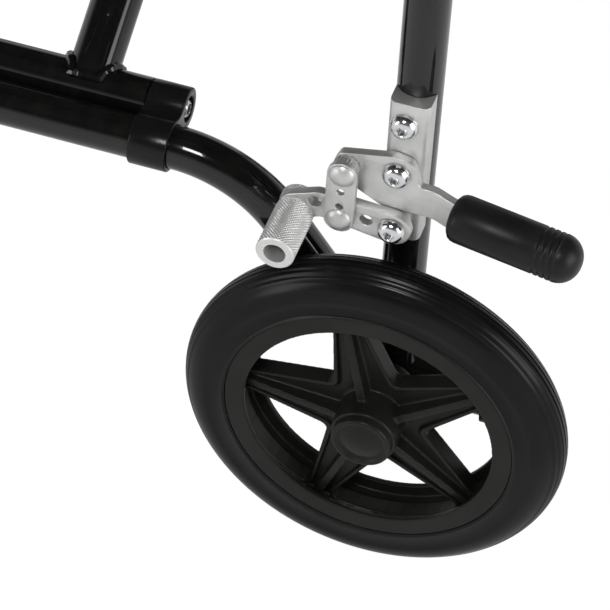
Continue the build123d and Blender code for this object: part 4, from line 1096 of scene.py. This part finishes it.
# Arm pads, swelled with cloth pressure
def swollen(bm):
    """Blow a closed shape up under cloth pressure, no point moving past the cap, and subdivide once."""
    voxel, cap, pressure, run = 5.0, 4.0 * MM, 4.0, 20
    source = fused(bm, voxel, 0)
    mesh = bpy.data.meshes.new("pad")
    source.transform(Matrix.Scale(MM, 4))
    source.to_mesh(mesh)
    source.free()
    piece = bpy.data.objects.new("pad", mesh)
    bpy.context.scene.collection.objects.link(piece)
    cloth = piece.modifiers.new("cloth", "CLOTH")
    cloth.settings.use_pressure = True
    cloth.settings.uniform_pressure_force = pressure
    cloth.settings.effector_weights.gravity = 0
    for moment in range(1, run + 1):
        bpy.context.scene.frame_set(moment)
    graph = bpy.context.evaluated_depsgraph_get()
    blown = bpy.data.meshes.new_from_object(piece.evaluated_get(graph))
    for vert, swelled in zip(mesh.vertices, blown.vertices):
        move = swelled.co - vert.co
        if move.length > cap:
            move = move.normalized() * cap
        vert.co = vert.co + move
    bpy.data.meshes.remove(blown)
    piece.modifiers.remove(cloth)
    bpy.context.scene.frame_set(1)
    piece.modifiers.new("fine", "SUBSURF").levels = 1
    graph = bpy.context.evaluated_depsgraph_get()
    fine = bpy.data.meshes.new_from_object(piece.evaluated_get(graph))
    bpy.data.objects.remove(piece)
    return fine


pad_mid = (frame_x, upright_y + 30.0 + pad_l / 2)
pad_low = arm_z + tube_r - 1.6
half_l, half_w, core_r, board_l, board_w, board_r = pad_l / 2 - 3.5, pad_w / 2 - 3.5, 15, 124, 20, 13
for side, hand in (("left", 1), ("right", -1)):
    core = plate([slab(-half_w, -half_l, half_w, half_l, core_r, core_r)], pad_low + 3.0, pad_low + 19.5,
                 plane="XY", edge=4.5, at=(hand * pad_mid[0], pad_mid[1]))
    pad = place_piece(f"{side}_arm_cushion", swollen(core), "pad_vinyl", f"{side}_frame",
                      (f"{side}_arm_pad",), 0)
board = slab(-board_w, -board_l, board_w, board_l, board_r, board_r)
base = plate([board], pad_low, pad_low + 4.0, plane="XY", edge=0.8, at=pad_mid)
clip_half, clip_edge, clip_r = 9.0, 8.4, tube_r + 2.2
clip = [(tube_r + 0.05, -clip_half), (clip_r, -clip_half), (clip_r + 0.4, -clip_edge),
        (clip_r + 0.4, clip_edge), (clip_r, clip_half), (tube_r + 0.05, clip_half)]
for y in (-80, 80):
    lathe(base, clip, (frame_x, pad_mid[1] + y, arm_z), (0, 1, 0), 48)
place_pair("pad_base", base, "black_plastic", "frame")


# Slings
def sheet_grid(us, vs, point, thick, holes=lambda u, v: False):
    """A cloth with thickness from a grid. point(u, v) gives a place and the way to its underside."""
    bm = bmesh.new()
    layers = []
    for layer in (0, 1):
        rows = []
        for u in us:
            row = []
            for v in vs:
                place, under = point(u, v)
                row.append(bm.verts.new(place + under * thick * layer))
            rows.append(row)
        layers.append(rows)
    keep = [[not holes((us[i] + us[i + 1]) / 2, (vs[j] + vs[j + 1]) / 2) for j in range(len(vs) - 1)]
            for i in range(len(us) - 1)]
    top, low = layers
    for i in range(len(us) - 1):
        for j in range(len(vs) - 1):
            if not keep[i][j]:
                continue
            bm.faces.new((top[i][j], top[i + 1][j], top[i + 1][j + 1], top[i][j + 1]))
            bm.faces.new((low[i][j], low[i][j + 1], low[i + 1][j + 1], low[i + 1][j]))
            for di, dj, a, b in ((-1, 0, (i, j), (i, j + 1)), (1, 0, (i + 1, j), (i + 1, j + 1)),
                                 (0, -1, (i, j), (i + 1, j)), (0, 1, (i, j + 1), (i + 1, j + 1))):
                ni, nj = i + di, j + dj
                inside = 0 <= ni < len(us) - 1 and 0 <= nj < len(vs) - 1 and keep[ni][nj]
                if not inside:
                    bm.faces.new((top[a[0]][a[1]], top[b[0]][b[1]], low[b[0]][b[1]], low[a[0]][a[1]]))
    loose = [v for v in bm.verts if not v.link_faces]
    bmesh.ops.delete(bm, geom=loose, context="VERTS")
    return bm


def spaced(low, high, count):
    """Evenly spaced values, both ends included."""
    return [low + (high - low) * k / count for k in range(count + 1)]


sling_out = tube_r + 4.4
seat_w = 2 * pivot_x
wrap_len = sling_out * radians(40)
seat_thick = 3.0


def seat_point(u, v):
    """u runs across the seat from one wrapped edge to the other, v from rear to front."""
    half = seat_w / 2
    if abs(u) <= half:
        across_share = 1 - (u / half) ** 2
        along_share = (v - seat_rail_rear) / (seat_rail_front - seat_rail_rear)
        sag = 4.0 * across_share * (0.6 + 0.4 * sin(pi * along_share))
        pull = 0.35 * across_share * sin(v * 0.16 + 2.0 * noise.noise(Vector((u * 0.01, v * 0.01, 0))))
        hem = -0.9 if min(v - seat_rail_rear, seat_rail_front - v) < 1.2 else 0
        return Vector((u, axle_y - v, seat_rail_z + sling_out - sag + pull + hem)), Vector((0, 0, -1))
    hand = 1 if u > 0 else -1
    a = (abs(u) - half) / sling_out
    out = Vector((hand * sin(a), 0, cos(a)))
    return Vector((hand * half, axle_y - v, seat_rail_z)) + out * sling_out, -out


edge_us = spaced(-seat_w / 2 - wrap_len, -seat_w / 2, 6)[:-1]
us = edge_us + spaced(-seat_w / 2, seat_w / 2, 72) + [-u for u in reversed(edge_us)]
seat = sheet_grid(us, spaced(seat_rail_rear, seat_rail_front, 92), seat_point, seat_thick)
seat_piece = place_piece("seat_cloth", finish_mesh(seat, False), "nylon", None, ("seat_sling",), 50)
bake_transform(seat_piece)

lean = radians(back_angle)
back_up = Vector((0, sin(lean), cos(lean)))
back_out = Vector((0, cos(lean), -sin(lean)))
back_l = (back_high_z - back_low_z) / cos(lean)
back_start = Vector((0, axle_y + (back_low_z - back_bend_z) * tan(lean), back_low_z))
slot_mid = (arm_z - back_low_z) / cos(lean)
slot_half = sling_out + 0.6
back_thick = 3.2


def back_point(u, v):
    """u runs across the back, v up along the reclined posts. The cloth passes in front of the posts."""
    across_share = max(0.0, 1 - (u / frame_x) ** 2)
    sag = 6.0 * across_share * (0.5 + 0.5 * sin(pi * v / back_l))
    pull = 0.4 * across_share * sin(u * 0.09 + 3.0 * noise.noise(Vector((u * 0.01, v * 0.01, 5))))
    front = -sling_out + sag + pull
    return back_start + Vector((u, 0, 0)) + back_up * v + back_out * front, back_out


def beside_arm(u, v):
    """Where the back cloth is cut away for an arm."""
    return abs(u) > frame_x - 20 and abs(v - slot_mid) < slot_half


us = spaced(-frame_x, frame_x, 86)
vs = spaced(0, slot_mid - slot_half, 30) + spaced(slot_mid - slot_half, slot_mid + slot_half, 8)[1:]
vs += spaced(slot_mid + slot_half, back_l, 44)[1:]
back = sheet_grid(us, vs, back_point, back_thick, beside_arm)
back_piece = place_piece("back_cloth", finish_mesh(back, False), "nylon", "left_frame", ("back_sling",), 50)
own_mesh(back_piece)

hem, stitch, ease = 10.0, 0.8, 0.35
for side, hand in (("left", 1), ("right", -1)):
    sleeves = bmesh.new()
    origin = back_start + Vector((hand * frame_x, 0, 0))
    for low, high in ((0, slot_mid - slot_half), (slot_mid + slot_half, back_l)):
        rings = [(tube_r + 0.5, low), (sling_out - 0.6, low), (sling_out, low + 0.8), (sling_out, low + hem),
                 (sling_out - ease, low + hem + stitch), (sling_out, low + hem + 2 * stitch),
                 (sling_out, high - hem - 2 * stitch), (sling_out - ease, high - hem - stitch),
                 (sling_out, high - hem), (sling_out, high - 0.8), (sling_out - 0.6, high),
                 (tube_r + 0.5, high)]
        lathe(sleeves, rings, origin, back_up, 48)
    sleeve = place_piece(f"{side}_back_sleeve", finish_mesh(sleeves, False), "nylon", f"{side}_frame", (), 50)
